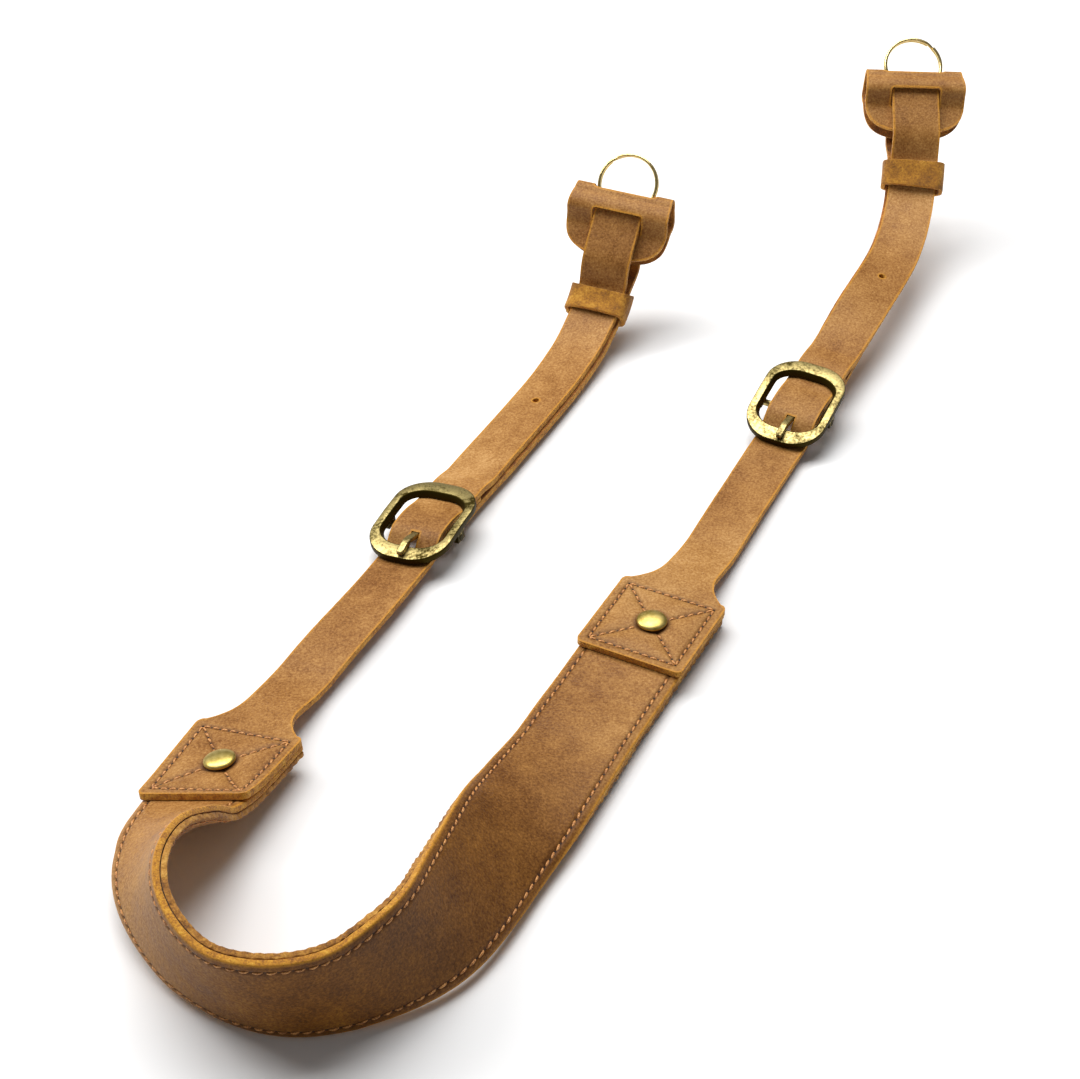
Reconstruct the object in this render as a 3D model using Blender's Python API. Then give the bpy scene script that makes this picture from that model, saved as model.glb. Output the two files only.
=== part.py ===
"""Leather camera neck strap lying in a loop, built from its real pieces at real size.

The strap lies on a level surface at z = 0. Its padded middle stands on edge round
the turn of the loop, and its two ends rise to the split rings that they carry.
"""
import math
from collections import namedtuple

import bmesh
import bpy
import numpy as np
from mathutils import Matrix, Vector

MM = 0.001
GAP = 0.3 * MM                     # clearance between pieces that touch

# Shoulder pad: grain leather over a suede lining
PAD_LENGTH = 402 * MM
PAD_WIDTH = 38 * MM
PAD_TOP_THICKNESS = 2.8 * MM
PAD_LINING_THICKNESS = 2.0 * MM
PAD_MARGIN = 3.2 * MM              # sewn margin outside the stitches
PAD_MARGIN_DROP = 0.8 * MM         # how far that margin rolls down
PAD_HEADING = -117                 # degrees, from the right patch towards the turn

# Long straps, each one piece of leather from its patch to its buckle
STRAP_WIDTH = 20 * MM
STRAP_THICKNESS = 2.3 * MM
STRAP_EDGE = 0.4 * MM              # worn corner of the grain side
PATCH_SIDE = 40 * MM
PATCH_CORNER = 2.5 * MM
FLARE_LENGTH = 18 * MM
PATCH_TO_BAR = 124 * MM            # edge of the patch to the buckle's centre bar
BAR_TO_FOLD = 203 * MM             # centre bar to the fold of the ring guard
RING_RISE = 49 * MM                # height that the straps' bends are given in
SETTLE_LENGTH = 38 * MM            # stretch in which a strap comes down off the pad
BACK_LAYER_SHIFT = 1.0 * MM        # how far the back layer shows beside the front one
FLARE_POWER = 3                    # how sharply the flare runs into the strap
HOLE_DIAMETER = 2.8 * MM
HOLE_TO_BAR = 92 * MM

# Rivets through the patches
RIVET_CAP_DIAMETER = 10.9 * MM
RIVET_CAP_HEIGHT = 2.2 * MM
RIVET_SHANK_DIAMETER = 3.2 * MM
RIVET_BASE_DIAMETER = 9.0 * MM
RIVET_BASE_THICKNESS = 0.8 * MM

# Centre-bar buckles
BUCKLE_LENGTH = 44 * MM
BUCKLE_WIDTH = 32 * MM
BUCKLE_SHIFT = 1.2 * MM            # towards the left-hand edge of its strap
BUCKLE_CORNER = 13 * MM
BUCKLE_END_FACE = 6.2 * MM
BUCKLE_SIDE_FACE = 3.0 * MM
BUCKLE_THICKNESS = 2.6 * MM
BUCKLE_DOME = 1.5 * MM             # rise of the middle over the two ends
BUCKLE_EDGE = 0.7 * MM             # bevel of the frame's upper edges
BUCKLE_BAR_DIAMETER = 2.6 * MM
BUCKLE_LUG_LENGTH = 5.0 * MM
BUCKLE_LUG_WIDTH = 2.2 * MM
BUCKLE_BAR_INSET = 0.4 * MM        # of the bar's ends from the frame's sides
SKIVED_THICKNESS = 1.4 * MM        # thinned leather that folds round the bar
FOLD_LAP = 25 * MM
PRONG_WIDTH = 2.8 * MM
PRONG_THICKNESS = 1.9 * MM
PRONG_EYE_WIDTH = 3.4 * MM
PRONG_EYE_THICKNESS = 1.0 * MM
PRONG_EDGE = 0.4 * MM

# Keepers, the loops round both layers
KEEPER_WIDTH = 12 * MM
KEEPER_THICKNESS = 1.8 * MM
KEEPER_TO_FOLD = 47 * MM

# Ring guards, folded leather tabs
GUARD_FOLD_WIDTH = 41 * MM
GUARD_WIDTH = 43 * MM
GUARD_FLAP = 28 * MM
GUARD_THICKNESS = 1.7 * MM
GUARD_FOLD_RADIUS = 3.1 * MM
GUARD_LOBE = 16 * MM               # rounded end of a flap
GUARD_LOBE_POWER = 3               # 2 is an ellipse, more is squarer
GUARD_BRIDGE = 9.3 * MM            # leather between a guard's fold and its slots
LOOP_TO_FOLD = 8.2 * MM            # centre of the strap's loop below the guard's fold
LOOP_RADIUS = 3.3 * MM
LOOP_WAIST = 11 * MM               # the strap is drawn in where it goes round the ring
SLOT_LENGTH = 7.5 * MM
FRONT_FLAP_SPREAD = 1.3 * MM       # how far the front flap's end stands away
BACK_FLAP_SPREAD = 6.0 * MM

# Split rings
RING_DIAMETER = 25.5 * MM
RING_WIRE = 1.4 * MM

# Sampling of the swept pieces
PAD_STEP = 6 * MM
PATCH_STEP = 5 * MM
PAD_COLUMNS = 2
REST_STEP = 10 * MM
CURVED_STEP = 4.5 * MM
RUN_STEPS = 400

# One row is a place along the leather. turn: heading gained since the start of the
# run, in degrees, anticlockwise seen from above. bank: roll in degrees, positive
# where the right-hand edge is the higher one. lift: height of the lower edge, as a
# share of the pad's width, or of the ring rise on the straps.
Bend = namedtuple("Bend", "share turn bank lift")

PAD_BENDS = (
    Bend(0.00, 0, 0, 0.00),
    Bend(0.10, 0, 0, 0.00),
    Bend(0.20, 2, 0, 0.03),
    Bend(0.28, 5, 12, 0.02),
    Bend(0.36, 7, 37, 0.00),
    Bend(0.44, 3, 53, 0.03),
    Bend(0.51, -20, 77, 0.04),
    Bend(0.58, -49, 96, 0.01),
    Bend(0.65, -87, 101, 0.01),
    Bend(0.72, -119, 88, 0.08),
    Bend(0.80, -155, 57, 0.15),
    Bend(0.845, -168, 37, 0.13),
    Bend(0.89, -174, 19, 0.07),
    Bend(0.93, -176, 13, 0.02),
    Bend(1.00, -177, 8, 0.00),
)
LEFT_BENDS = (
    Bend(0.00, 0, 0, 0.01),
    Bend(0.19, -3.5, 2, 0.08),
    Bend(0.34, -0.5, 5, 0.05),
    Bend(0.54, -1.5, 5, 0.02),
    Bend(0.64, -3, 6, 0.01),
    Bend(0.76, -1.5, 6, 0.01),
    Bend(0.84, -0.5, 5, 0.05),
    Bend(0.92, 0, 2, 0.22),
    Bend(1.00, 1.5, -3, 0.58),
)
RIGHT_BENDS = (
    Bend(0.00, 0, 0, 0.01),
    Bend(0.16, 2.5, 2, 0.04),
    Bend(0.34, 1, -2, 0.05),
    Bend(0.54, -0.5, -2, 0.19),
    Bend(0.66, 1.5, -12, 0.25),
    Bend(0.77, 4, -9, 0.27),
    Bend(0.88, 13, -3, 0.45),
    Bend(1.00, 26, -3, 0.92),
)

# How the strap climbs from its rest over the buckle's bar and comes down behind it.
# reach: place from the bar, as a share of the way to the middle of a frame end.
# height: share of the climb.
Climb = namedtuple("Climb", "reach height")

CLIMB_TO_BAR = (
    Climb(-1.12, 0.0),
    Climb(-0.86, 0.03),
    Climb(-0.68, 0.19),
    Climb(-0.50, 0.67),
    Climb(-0.33, 0.95),
    Climb(0.0, 1.0),
)
FALL_FROM_BAR = (
    Climb(0.26, 0.8),
    Climb(0.56, 0.2),
    Climb(0.82, 0.0),
)

# How a guard's flaps lie. place: down from the fold, as a share of the way to the
# slots' far ends. bulge: how much of the way out from under the strap to over its
# loop. front and back: how far a flap stands away, as a share of its spread.
Flap = namedtuple("Flap", "place bulge front back")

FLAPS = (
    Flap(0.33, 0.80, 0.0, 0.0),
    Flap(0.50, 1.0, 0.0, 0.0),
    Flap(0.56, 1.0, 0.0, 0.0),
    Flap(0.78, 0.40, 0.1, 0.1),
    Flap(1.0, 0.0, 0.38, 0.38),
    Flap(1.27, 0.0, 0.62, 0.62),
)

# Sizes that follow from the ones above
PAD_THICKNESS = PAD_TOP_THICKNESS + GAP + PAD_LINING_THICKNESS
STRAP_RUN = PATCH_TO_BAR + BAR_TO_FOLD
BENT_RUN = STRAP_RUN - GUARD_FLAP              # a strap runs straight inside its guard
LAYER_OFFSET = (STRAP_THICKNESS + GAP) / 2     # of each layer from the plane between
RIVET_STAND = RIVET_BASE_THICKNESS + GAP       # the rivet's base below the lining
PATCH_BASE = GAP + STRAP_THICKNESS + GAP / 2   # plane between layers over the pad's skin


def smooth(places, values, at):
    """Reads a table's column at any places, smoothly and without overshoot."""
    places = np.asarray(places, float)
    values = np.asarray(values, float)
    at = np.asarray(at, float)
    width = np.diff(places)
    slope = np.diff(values) / width
    grade = np.zeros(len(places))
    grade[0], grade[-1] = slope[0], slope[-1]
    for i in range(1, len(places) - 1):
        if slope[i - 1] * slope[i] > 0:
            before = 2 * width[i] + width[i - 1]
            after = width[i] + 2 * width[i - 1]
            grade[i] = (before + after) / (before / slope[i - 1] + after / slope[i])
    cell = np.clip(np.searchsorted(places, at, side="right") - 1, 0, len(width) - 1)
    t = (at - places[cell]) / width[cell]
    return (values[cell] * (1 + 2 * t) * (1 - t) ** 2
            + width[cell] * grade[cell] * t * (1 - t) ** 2
            + values[cell + 1] * t ** 2 * (3 - 2 * t)
            - width[cell] * grade[cell + 1] * t ** 2 * (1 - t))


def read(bends, column, shares):
    """One column of a table of bends at the given shares of its run."""
    return smooth([row.share for row in bends],
                  [getattr(row, column) for row in bends], shares)


def unit(vectors):
    return vectors / np.linalg.norm(vectors, axis=-1, keepdims=True)


class Run:
    """A line that leather follows: its points, and three unit vectors at each.

    along points down the run, across to its left-hand side and out from its skin.
    """

    def __init__(self, s, point, along, across, out):
        self.s = s
        self.point = point
        self.along = along
        self.across = across
        self.out = out

    def at(self, s):
        """Point, along, across and out at distances s, straight on past both ends."""
        s = np.atleast_1d(np.asarray(s, float))
        inside = np.clip(s, self.s[0], self.s[-1])

        def blend(rows):
            columns = [np.interp(inside, self.s, rows[:, k]) for k in range(3)]
            return np.stack(columns, axis=-1)

        along = unit(blend(self.along))
        across = unit(blend(self.across))
        point = blend(self.point) + (s - inside)[:, None] * along
        return point, along, across, np.cross(along, across)

    def place(self, s, a, n):
        """World points at s along, a across and n out of the run."""
        point, _, across, out = self.at(s)
        return point + np.asarray(a)[..., None] * across + np.asarray(n)[..., None] * out

    def frame(self, s, n=0.0):
        """Matrix with X along, Y across and Z out, at s and n out of the run."""
        point, along, across, out = (Vector(v[0]) for v in self.at(s))
        turn = Matrix((along, across, out)).transposed().to_4x4()
        return Matrix.Translation(point + n * out) @ turn


def lay_run(start, length, heading, bank, height):
    """Walks a run over the ground: heading and bank in radians, height in metres."""
    s = np.linspace(0, length, len(height))
    level = np.sqrt(np.maximum(np.diff(s) ** 2 - np.diff(height) ** 2, 0))
    middle = (heading[1:] + heading[:-1]) / 2
    x = start[0] + np.concatenate([[0], np.cumsum(level * np.cos(middle))])
    y = start[1] + np.concatenate([[0], np.cumsum(level * np.sin(middle))])
    point = np.stack([x, y, height], axis=-1)
    along = unit(np.gradient(point, axis=0))
    side = unit(np.cross([0.0, 0.0, 1.0], along))
    up = np.cross(along, side)
    across = side * np.cos(bank)[:, None] - up * np.sin(bank)[:, None]
    return Run(s, point, along, across, np.cross(along, across))


def pad_run():
    """The pad's skin from the right patch, round the turn, to the left patch."""
    shares = np.linspace(0, 1, RUN_STEPS + 1)
    heading = np.radians(PAD_HEADING + read(PAD_BENDS, "turn", shares))
    bank = np.radians(read(PAD_BENDS, "bank", shares))
    s_to_end = PAD_LENGTH * np.minimum(shares, 1 - shares)
    near_rivet = np.clip((PATCH_SIDE * 1.5 - s_to_end) / (PATCH_SIDE / 2), 0, 1)
    rivet_low = np.sin(bank) * (PAD_WIDTH - RIVET_BASE_DIAMETER) / 2
    lift = (read(PAD_BENDS, "lift", shares) * PAD_WIDTH
            + near_rivet * np.maximum(RIVET_STAND - rivet_low, 0))
    height = (lift + np.abs(np.sin(bank)) * PAD_WIDTH / 2
              + np.maximum(np.cos(bank), 0) * PAD_THICKNESS)
    return lay_run((0, 0), PAD_LENGTH, heading, bank, height)


def strap_run(pad, bends, end):
    """The plane between a strap's two layers, from its patch on the pad to its ring."""
    if end == "left":
        patch_s = np.linspace(PAD_LENGTH - PATCH_SIDE, PAD_LENGTH, 41)
        facing = 1
    else:
        patch_s = np.linspace(PATCH_SIDE, 0, 41)
        facing = -1
    point, along, across, out = pad.at(patch_s)
    point = point + out * PATCH_BASE
    along, across = along * facing, across * facing
    shares = np.linspace(0, 1, RUN_STEPS + 1)
    s = shares * BENT_RUN
    t = np.clip(s / SETTLE_LENGTH, 0, 1)
    fade = (1 + 2 * t) * (1 - t) ** 2
    lead = SETTLE_LENGTH * t * (1 - t) ** 2
    bank = np.radians(read(bends, "bank", shares))
    height = (read(bends, "lift", shares) * RING_RISE
              + np.abs(np.sin(bank)) * STRAP_WIDTH / 2 + STRAP_THICKNESS + GAP / 2)
    pad_bank = -math.asin(across[-1][2])
    bank = bank + (pad_bank - bank[0]) * fade
    height = height + (point[-1][2] - height[0]) * fade + along[-1][2] * lead
    start_heading = math.atan2(along[-1][1], along[-1][0])
    heading = start_heading + np.radians(read(bends, "turn", shares))
    rest = lay_run(point[-1][:2], BENT_RUN, heading, bank, height)
    return Run(np.concatenate([np.linspace(-PATCH_SIDE, 0, 41)[:-1], rest.s]),
               np.concatenate([point[:-1], rest.point]),
               np.concatenate([along[:-1], rest.along]),
               np.concatenate([across[:-1], rest.across]),
               np.concatenate([out[:-1], rest.out]))


def material(name, colour, roughness, metallic=0.0):
    shade = bpy.data.materials.new(name)
    shade.use_nodes = True
    surface = shade.node_tree.nodes["Principled BSDF"]
    surface.inputs["Base Color"].default_value = (*colour, 1)
    surface.inputs["Roughness"].default_value = roughness
    surface.inputs["Metallic"].default_value = metallic
    return shade


def add_object(name, mesh, shade=None, parent=None):
    piece = bpy.data.objects.new(name, mesh)
    bpy.context.scene.collection.objects.link(piece)
    piece.parent = parent
    if shade:
        mesh.materials.append(shade)
    return piece


def mesh_of(name, points, faces, sharp=35):
    """A closed mesh with its faces turned outwards and its round parts smooth."""
    mesh = bpy.data.meshes.new(name)
    shell = bmesh.new()
    verts = [shell.verts.new(point) for point in points]
    for face in faces:
        shell.faces.new([verts[i] for i in face])
    bmesh.ops.recalc_face_normals(shell, faces=shell.faces)
    shell.to_mesh(mesh)
    shell.free()
    mesh.shade_smooth()
    mesh.set_sharp_from_angle(angle=math.radians(sharp))
    return mesh


def loft(name, rings, closed=False, underside=0, back=()):
    """Skins rings of points that have the same count, with capped ends if open.

    The first `underside` faces between two rings are split the other way from the
    rest, and all of them the other way again where `back` says so. This keeps the
    broad sides of twisted leather parallel to each other.
    """
    count, size = len(rings), len(rings[0])
    points = [point for ring in rings for point in ring]
    faces = []
    for i in range(count if closed else count - 1):
        near, far = i * size, (i + 1) % count * size
        for k in range(size):
            after = (k + 1) % size
            if underside and (k < underside) != back[i]:
                faces.append((near + k, near + after, far + after))
                faces.append((near + k, far + after, far + k))
            elif underside:
                faces.append((near + k, near + after, far + k))
                faces.append((near + after, far + after, far + k))
            else:
                faces.append((near + k, near + after, far + after, far + k))
    if not closed:
        faces.append(tuple(range(size)))
        faces.append(tuple((count - 1) * size + k for k in reversed(range(size))))
    return mesh_of(name, points, faces)


def strip(name, run, line, half_width, thickness, edge=(STRAP_EDGE, STRAP_EDGE),
          shift=0.0, columns=0):
    """Leather of a given thickness along a line of (s, n) places beside a run.

    edge is how wide and how deep the skin's long corners are taken off, and columns
    is the number of extra points between the corners of each broad side.
    """
    line = np.asarray(line, float)
    half_width = np.broadcast_to(half_width, len(line))
    thickness = np.broadcast_to(thickness, len(line))
    shift = np.broadcast_to(shift, len(line))
    tangent = unit(np.gradient(line, axis=0))
    normal = np.stack([-tangent[:, 1], tangent[:, 0]], axis=-1)
    inset, drop = edge
    across = np.linspace(-1, 1, columns + 2)
    rings = []
    for place, away, w, t, b in zip(line, normal, half_width, thickness, shift):
        top = t / 2
        a = np.concatenate([w * across, [w], (inset - w) * across, [-w]]) + b
        h = np.concatenate([0 * across - top, [top - drop], 0 * across + top, [top - drop]])
        rings.append(run.place(place[0] + away[0] * h, a, place[1] + away[1] * h))
    return loft(name, rings, underside=columns + 1, back=np.diff(line[:, 0]) < 0)


def turned(name, profile, sides, closed=False):
    """Turns a profile of (radius, height) about Z. A closed profile makes a ring."""
    rings = []
    for k in range(sides):
        angle = 2 * math.pi * k / sides
        rings.append([(r * math.cos(angle), r * math.sin(angle), z) for r, z in profile])
    if closed:
        return loft(name, rings, closed=True)
    size = len(profile)
    points = [point for ring in rings for point in ring]
    faces = []
    for k in range(sides):
        near, far = k * size, (k + 1) % sides * size
        for i in range(size - 1):
            faces.append((near + i, far + i, far + i + 1, near + i + 1))
    faces.append(tuple(k * size for k in range(sides)))
    faces.append(tuple(k * size + size - 1 for k in reversed(range(sides))))
    return mesh_of(name, points, faces)


def box_cutter(name, frame, low, high, parent):
    """A box from low to high in a frame, used only to cut."""
    corners = [(x, y, z) for x in (low[0], high[0]) for y in (low[1], high[1])
               for z in (low[2], high[2])]
    faces = ((0, 1, 3, 2), (4, 6, 7, 5), (0, 4, 5, 1), (2, 3, 7, 6), (0, 2, 6, 4), (1, 5, 7, 3))
    cutter = add_object(name, mesh_of(name, corners, faces), parent=parent)
    cutter.matrix_basis = frame
    return as_cutter(cutter)


def round_cutter(name, frame, outline, low, high, parent):
    """A prism with the given outline in X and Y, used only to cut."""
    rings = [[(x, y, z) for x, y in outline] for z in (low, high)]
    cutter = add_object(name, loft(name, rings), parent=parent)
    cutter.matrix_basis = frame
    return as_cutter(cutter)


def as_cutter(cutter):
    cutter.hide_render = True
    cutter.display_type = "WIRE"
    return cutter


def boolean(piece, other, operation="DIFFERENCE"):
    step = piece.modifiers.new(operation.title(), "BOOLEAN")
    step.operation = operation
    step.solver = "EXACT"
    step.object = other


def circle(diameter, sides=16):
    angles = [2 * math.pi * (k + 0.5) / sides for k in range(sides)]
    return [(diameter / 2 * math.cos(t), diameter / 2 * math.sin(t)) for t in angles]


def spaced(start, end, step):
    """Evenly spaced places between two ends, about a step apart, ends included."""
    return np.linspace(start, end, max(2, int(round(abs(end - start) / step)) + 1))


def arc(centre, radius, start, end, steps):
    """Points (s, n) round a centre, from one angle in degrees to another."""
    angles = np.radians(np.linspace(start, end, steps + 1))
    return [(centre[0] + radius * math.cos(t), centre[1] + radius * math.sin(t))
            for t in angles]


# Heights near the buckle are n, measured from the plane between the two layers.
UNDER = -LAYER_OFFSET - STRAP_THICKNESS / 2                  # underside of the strap
BAR_CLEARANCE = GAP + BUCKLE_BAR_DIAMETER / 2
BAR_HEIGHT = UNDER + SKIVED_THICKNESS + BAR_CLEARANCE        # centre of the bar
WRAP_RADIUS = BAR_CLEARANCE + SKIVED_THICKNESS / 2
LAP_HEIGHT = UNDER + STRAP_THICKNESS + GAP + SKIVED_THICKNESS / 2
OVER_BAR = BAR_HEIGHT + BAR_CLEARANCE + SKIVED_THICKNESS + GAP + STRAP_THICKNESS / 2
OVER_LAP = LAP_HEIGHT + SKIVED_THICKNESS / 2 + GAP + STRAP_THICKNESS / 2
NEAR_END_UNDER = UNDER + STRAP_THICKNESS + GAP               # underside of the frame's ends
FAR_END_UNDER = OVER_LAP + STRAP_THICKNESS / 2 + GAP
BUCKLE_SLOPE = (FAR_END_UNDER - NEAR_END_UNDER) / BUCKLE_LENGTH
BUCKLE_HEIGHT = (NEAR_END_UNDER + FAR_END_UNDER + BUCKLE_THICKNESS) / 2
END_REACH = (BUCKLE_LENGTH - BUCKLE_END_FACE) / 2            # middle of an end's face
NEAR_EDGE = BUCKLE_LENGTH / 2 - BUCKLE_END_FACE              # inner edge of an end
FOLD_S = STRAP_RUN                                           # place of the guard's fold


# Heights of a guard's flaps: over the strap's loop, and under the strap below it
SLOT_END = GUARD_BRIDGE + SLOT_LENGTH
FLAP_OVER = LOOP_RADIUS + STRAP_THICKNESS / 2 + 2 * GAP + GUARD_THICKNESS / 2
FLAP_NEAR = LOOP_RADIUS - STRAP_THICKNESS / 2 - 1.5 * GAP - GUARD_THICKNESS / 2


def guard_height(q, flap):
    """Middle of the front flap or the back flap from the run, q below the fold."""
    spread = {"front": FRONT_FLAP_SPREAD, "back": BACK_FLAP_SPREAD}[flap]
    places, heights = [GUARD_FOLD_RADIUS], [GUARD_FOLD_RADIUS]
    for row in FLAPS:
        places.append(row.place * SLOT_END)
        heights.append(FLAP_NEAR + row.bulge * (FLAP_OVER - FLAP_NEAR)
                       + getattr(row, flap) * spread)
    places.append(GUARD_FLAP)
    heights.append(FLAP_NEAR + spread)
    return float(smooth(places, heights, q))


def strap_line():
    """The strap's middle line in the side view, its widths, thicknesses and shifts.

    It runs from the patch through the buckle, up the front, round the ring, down
    the back and round the buckle's centre bar.
    """
    line, width, thick, shift = [], [], [], []

    def add(points, half=STRAP_WIDTH / 2, thickness=STRAP_THICKNESS, aside=0.0):
        halves = np.broadcast_to(half, len(points))
        thicks = np.broadcast_to(thickness, len(points))
        asides = np.broadcast_to(aside, len(points))
        for point, h, t, b in zip(points, halves, thicks, asides):
            line.append(point)
            width.append(h)
            thick.append(t)
            shift.append(b)

    # Patch with rounded corners, then the flare down to the strap
    low = -LAYER_OFFSET
    half_patch, half_strap = PATCH_SIDE / 2, STRAP_WIDTH / 2
    corner = [(1 - math.cos(t)) * PATCH_CORNER for t in np.radians((0, 30, 60, 90))]
    drop = [(1 - math.sin(t)) * PATCH_CORNER for t in np.radians((0, 30, 60, 90))]
    for s, w in zip(corner, drop):
        add([(-PATCH_SIDE + s, low)], half_patch - w)
    for s in spaced(-PATCH_SIDE, 0, PATCH_STEP)[1:-1]:
        add([(s, low)], half_patch)
    for s, w in zip(reversed(corner), reversed(drop)):
        add([(-s, low)], half_patch - w)
    reach = half_patch - PATCH_CORNER - half_strap
    for t in (0.06, 0.14, 0.26, 0.42, 0.65, 1.0):
        add([(t * FLARE_LENGTH, low)], half_strap + reach * (1 - t) ** FLARE_POWER)

    # Pad side of the buckle, up over the bar, and down onto the lap behind it
    bar = PATCH_TO_BAR
    dip = END_REACH
    add([(s, low) for s in spaced(FLARE_LENGTH + REST_STEP, bar - 1.3 * dip, REST_STEP)])
    lap_end = FOLD_LAP + 2 * GAP
    hump_s = [row.reach * dip for row in CLIMB_TO_BAR + FALL_FROM_BAR]
    hump_s += [lap_end, 1.45 * lap_end]
    hump_n = [low + (OVER_BAR - low) * row.height for row in CLIMB_TO_BAR]
    hump_n += [OVER_LAP + (OVER_BAR - OVER_LAP) * row.height for row in FALL_FROM_BAR]
    hump_n += [OVER_LAP, LAYER_OFFSET]
    places = np.concatenate([spaced(hump_s[0], 0.8 * dip, 2.4 * MM),
                             spaced(1.0 * dip, hump_s[-1], 4 * MM)])
    add([(bar + s, smooth(hump_s, hump_n, s)) for s in places])

    # Front layer up to the keeper, then out over the guard's front flap
    clasp = KEEPER_TO_FOLD - KEEPER_WIDTH / 2
    rise_s = FOLD_S - KEEPER_TO_FOLD - GUARD_FLAP
    layer_s = np.concatenate([spaced(bar + hump_s[-1], rise_s, REST_STEP),
                              spaced(rise_s, FOLD_S - clasp, CURVED_STEP)[1:]])
    add([(s, LAYER_OFFSET) for s in layer_s[1:]])
    bed = GUARD_THICKNESS / 2 + 1.5 * GAP + STRAP_THICKNESS / 2
    mid_flap = (SLOT_END + GUARD_FLAP) / 2
    front_q = (LOOP_TO_FOLD, SLOT_END, mid_flap, GUARD_FLAP, clasp - 2 * MM)
    front_n = (LOOP_RADIUS, guard_height(SLOT_END, "front") + bed,
               guard_height(mid_flap, "front") + bed + GAP,
               guard_height(GUARD_FLAP, "front") + bed + GAP, LAYER_OFFSET + GAP)
    for q in spaced(front_q[-1], front_q[0], 3.2 * MM)[:-1]:
        add([(FOLD_S - q, smooth(front_q, front_n, q))])

    # Round the ring, down the back and through the keeper
    turn = np.linspace(90, -90, 9)
    drawn = np.clip((np.abs(turn) - 45) / 45, 0, 1)
    waist = LOOP_WAIST / 2
    add(arc((FOLD_S - LOOP_TO_FOLD, 0), LOOP_RADIUS, 90, -90, 8),
        waist + (half_strap - waist) * drawn)
    back_q = (LOOP_TO_FOLD, SLOT_END, mid_flap, GUARD_FLAP, clasp - 1 * MM)
    back_n = (LOOP_RADIUS, guard_height(SLOT_END, "back") + bed,
              guard_height(mid_flap, "back") + bed + GAP,
              guard_height(GUARD_FLAP, "back") + bed + 2 * GAP, LAYER_OFFSET + GAP)
    for q in spaced(back_q[0], back_q[-1], 3.2 * MM)[1:]:
        aside = BACK_LAYER_SHIFT * (q - back_q[0]) / (back_q[-1] - back_q[0])
        add([(FOLD_S - q, -smooth(back_q, back_n, q))], aside=aside)

    # Back layer down to the buckle, thinned and folded round the bar
    end = bar + WRAP_RADIUS
    skive = end + 3 * MM
    back_s = np.concatenate([layer_s[::-1], spaced(layer_s[0], skive, REST_STEP)[1:]])
    fade = np.clip((back_s - bar - FOLD_LAP) / FOLD_LAP, 0, 1)
    add([(s, low) for s in back_s], aside=BACK_LAYER_SHIFT * fade)
    thin = UNDER + SKIVED_THICKNESS / 2
    add([(end - GAP, thin)], thickness=SKIVED_THICKNESS)
    add(arc((bar, BAR_HEIGHT), WRAP_RADIUS, -90, -270, 8), thickness=SKIVED_THICKNESS)
    lap_s = (0.0, 0.3 * dip, 0.62 * dip, FOLD_LAP)
    lap_n = (BAR_HEIGHT + WRAP_RADIUS, BAR_HEIGHT + 0.72 * WRAP_RADIUS, LAP_HEIGHT, LAP_HEIGHT)
    for s in np.concatenate([spaced(1.6 * MM, lap_s[2], 2.4 * MM), [1.6 * lap_s[2], FOLD_LAP]]):
        add([(bar + s, smooth(lap_s, lap_n, s))], thickness=SKIVED_THICKNESS)
    return np.array(line), np.array(width), np.array(thick), np.array(shift)


def add_pad(pad, shades, parent):
    """The pad's two leathers, and the holes that the rivets pass through."""
    under_patch = spaced(0, PATCH_SIDE, PATCH_STEP)
    between = spaced(PATCH_SIDE, PAD_LENGTH - PATCH_SIDE, PAD_STEP)[1:-1]
    places = np.concatenate([under_patch, between, PAD_LENGTH - under_patch[::-1]])
    top_line = [(s, -PAD_TOP_THICKNESS / 2) for s in places]
    lining_n = -PAD_TOP_THICKNESS - GAP - PAD_LINING_THICKNESS / 2
    lining_line = [(s, lining_n) for s in places]
    top = add_object("pad_top_leather",
                     strip("pad_top_leather", pad, top_line, PAD_WIDTH / 2,
                           PAD_TOP_THICKNESS, (PAD_MARGIN, PAD_MARGIN_DROP),
                           columns=PAD_COLUMNS),
                     shades["grain"], parent)
    lining = add_object("pad_lining",
                        strip("pad_lining", pad, lining_line, PAD_WIDTH / 2,
                              PAD_LINING_THICKNESS, columns=PAD_COLUMNS),
                        shades["suede"], parent)
    return top, lining


def add_strap(side, run, shade, parent, shift_sign):
    line, width, thick, shift = strap_line()
    name = side + "_strap"
    mesh = strip(name, run, line, width, thick, shift=shift * shift_sign)
    piece = add_object(name, mesh, shade, parent)
    hole = round_cutter(side + "_hole_cutter", run.frame(PATCH_TO_BAR + HOLE_TO_BAR),
                        circle(HOLE_DIAMETER), GAP / 4, 2 * STRAP_THICKNESS, parent)
    boolean(piece, hole)
    return piece


def add_rivet(side, run, shade, parent, pierced):
    """A domed cap, its shank through all the leathers and its base underneath."""
    skin = UNDER + STRAP_THICKNESS + 2 * GAP
    base = UNDER - GAP - PAD_THICKNESS - GAP
    cap, shank, foot = (d / 2 for d in (RIVET_CAP_DIAMETER, RIVET_SHANK_DIAMETER,
                                        RIVET_BASE_DIAMETER))
    dome = [(cap * math.cos(t), skin + RIVET_CAP_HEIGHT * (0.25 + 0.75 * math.sin(t)))
            for t in np.radians((0, 22, 45, 66, 84))]
    profile = [(foot, base - RIVET_BASE_THICKNESS), (foot, base), (shank, base),
               (shank, skin), (cap, skin)] + dome
    name = side + "_rivet"
    rivet = add_object(name, turned(name, profile, 20), shade, parent)
    rivet.matrix_basis = run.frame(-PATCH_SIDE / 2)
    hole = round_cutter(side + "_rivet_cutter", run.frame(-PATCH_SIDE / 2),
                        circle(RIVET_SHANK_DIAMETER + 2 * GAP), base, skin + GAP, parent)
    for leather in pierced:
        boolean(leather, hole)


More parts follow.
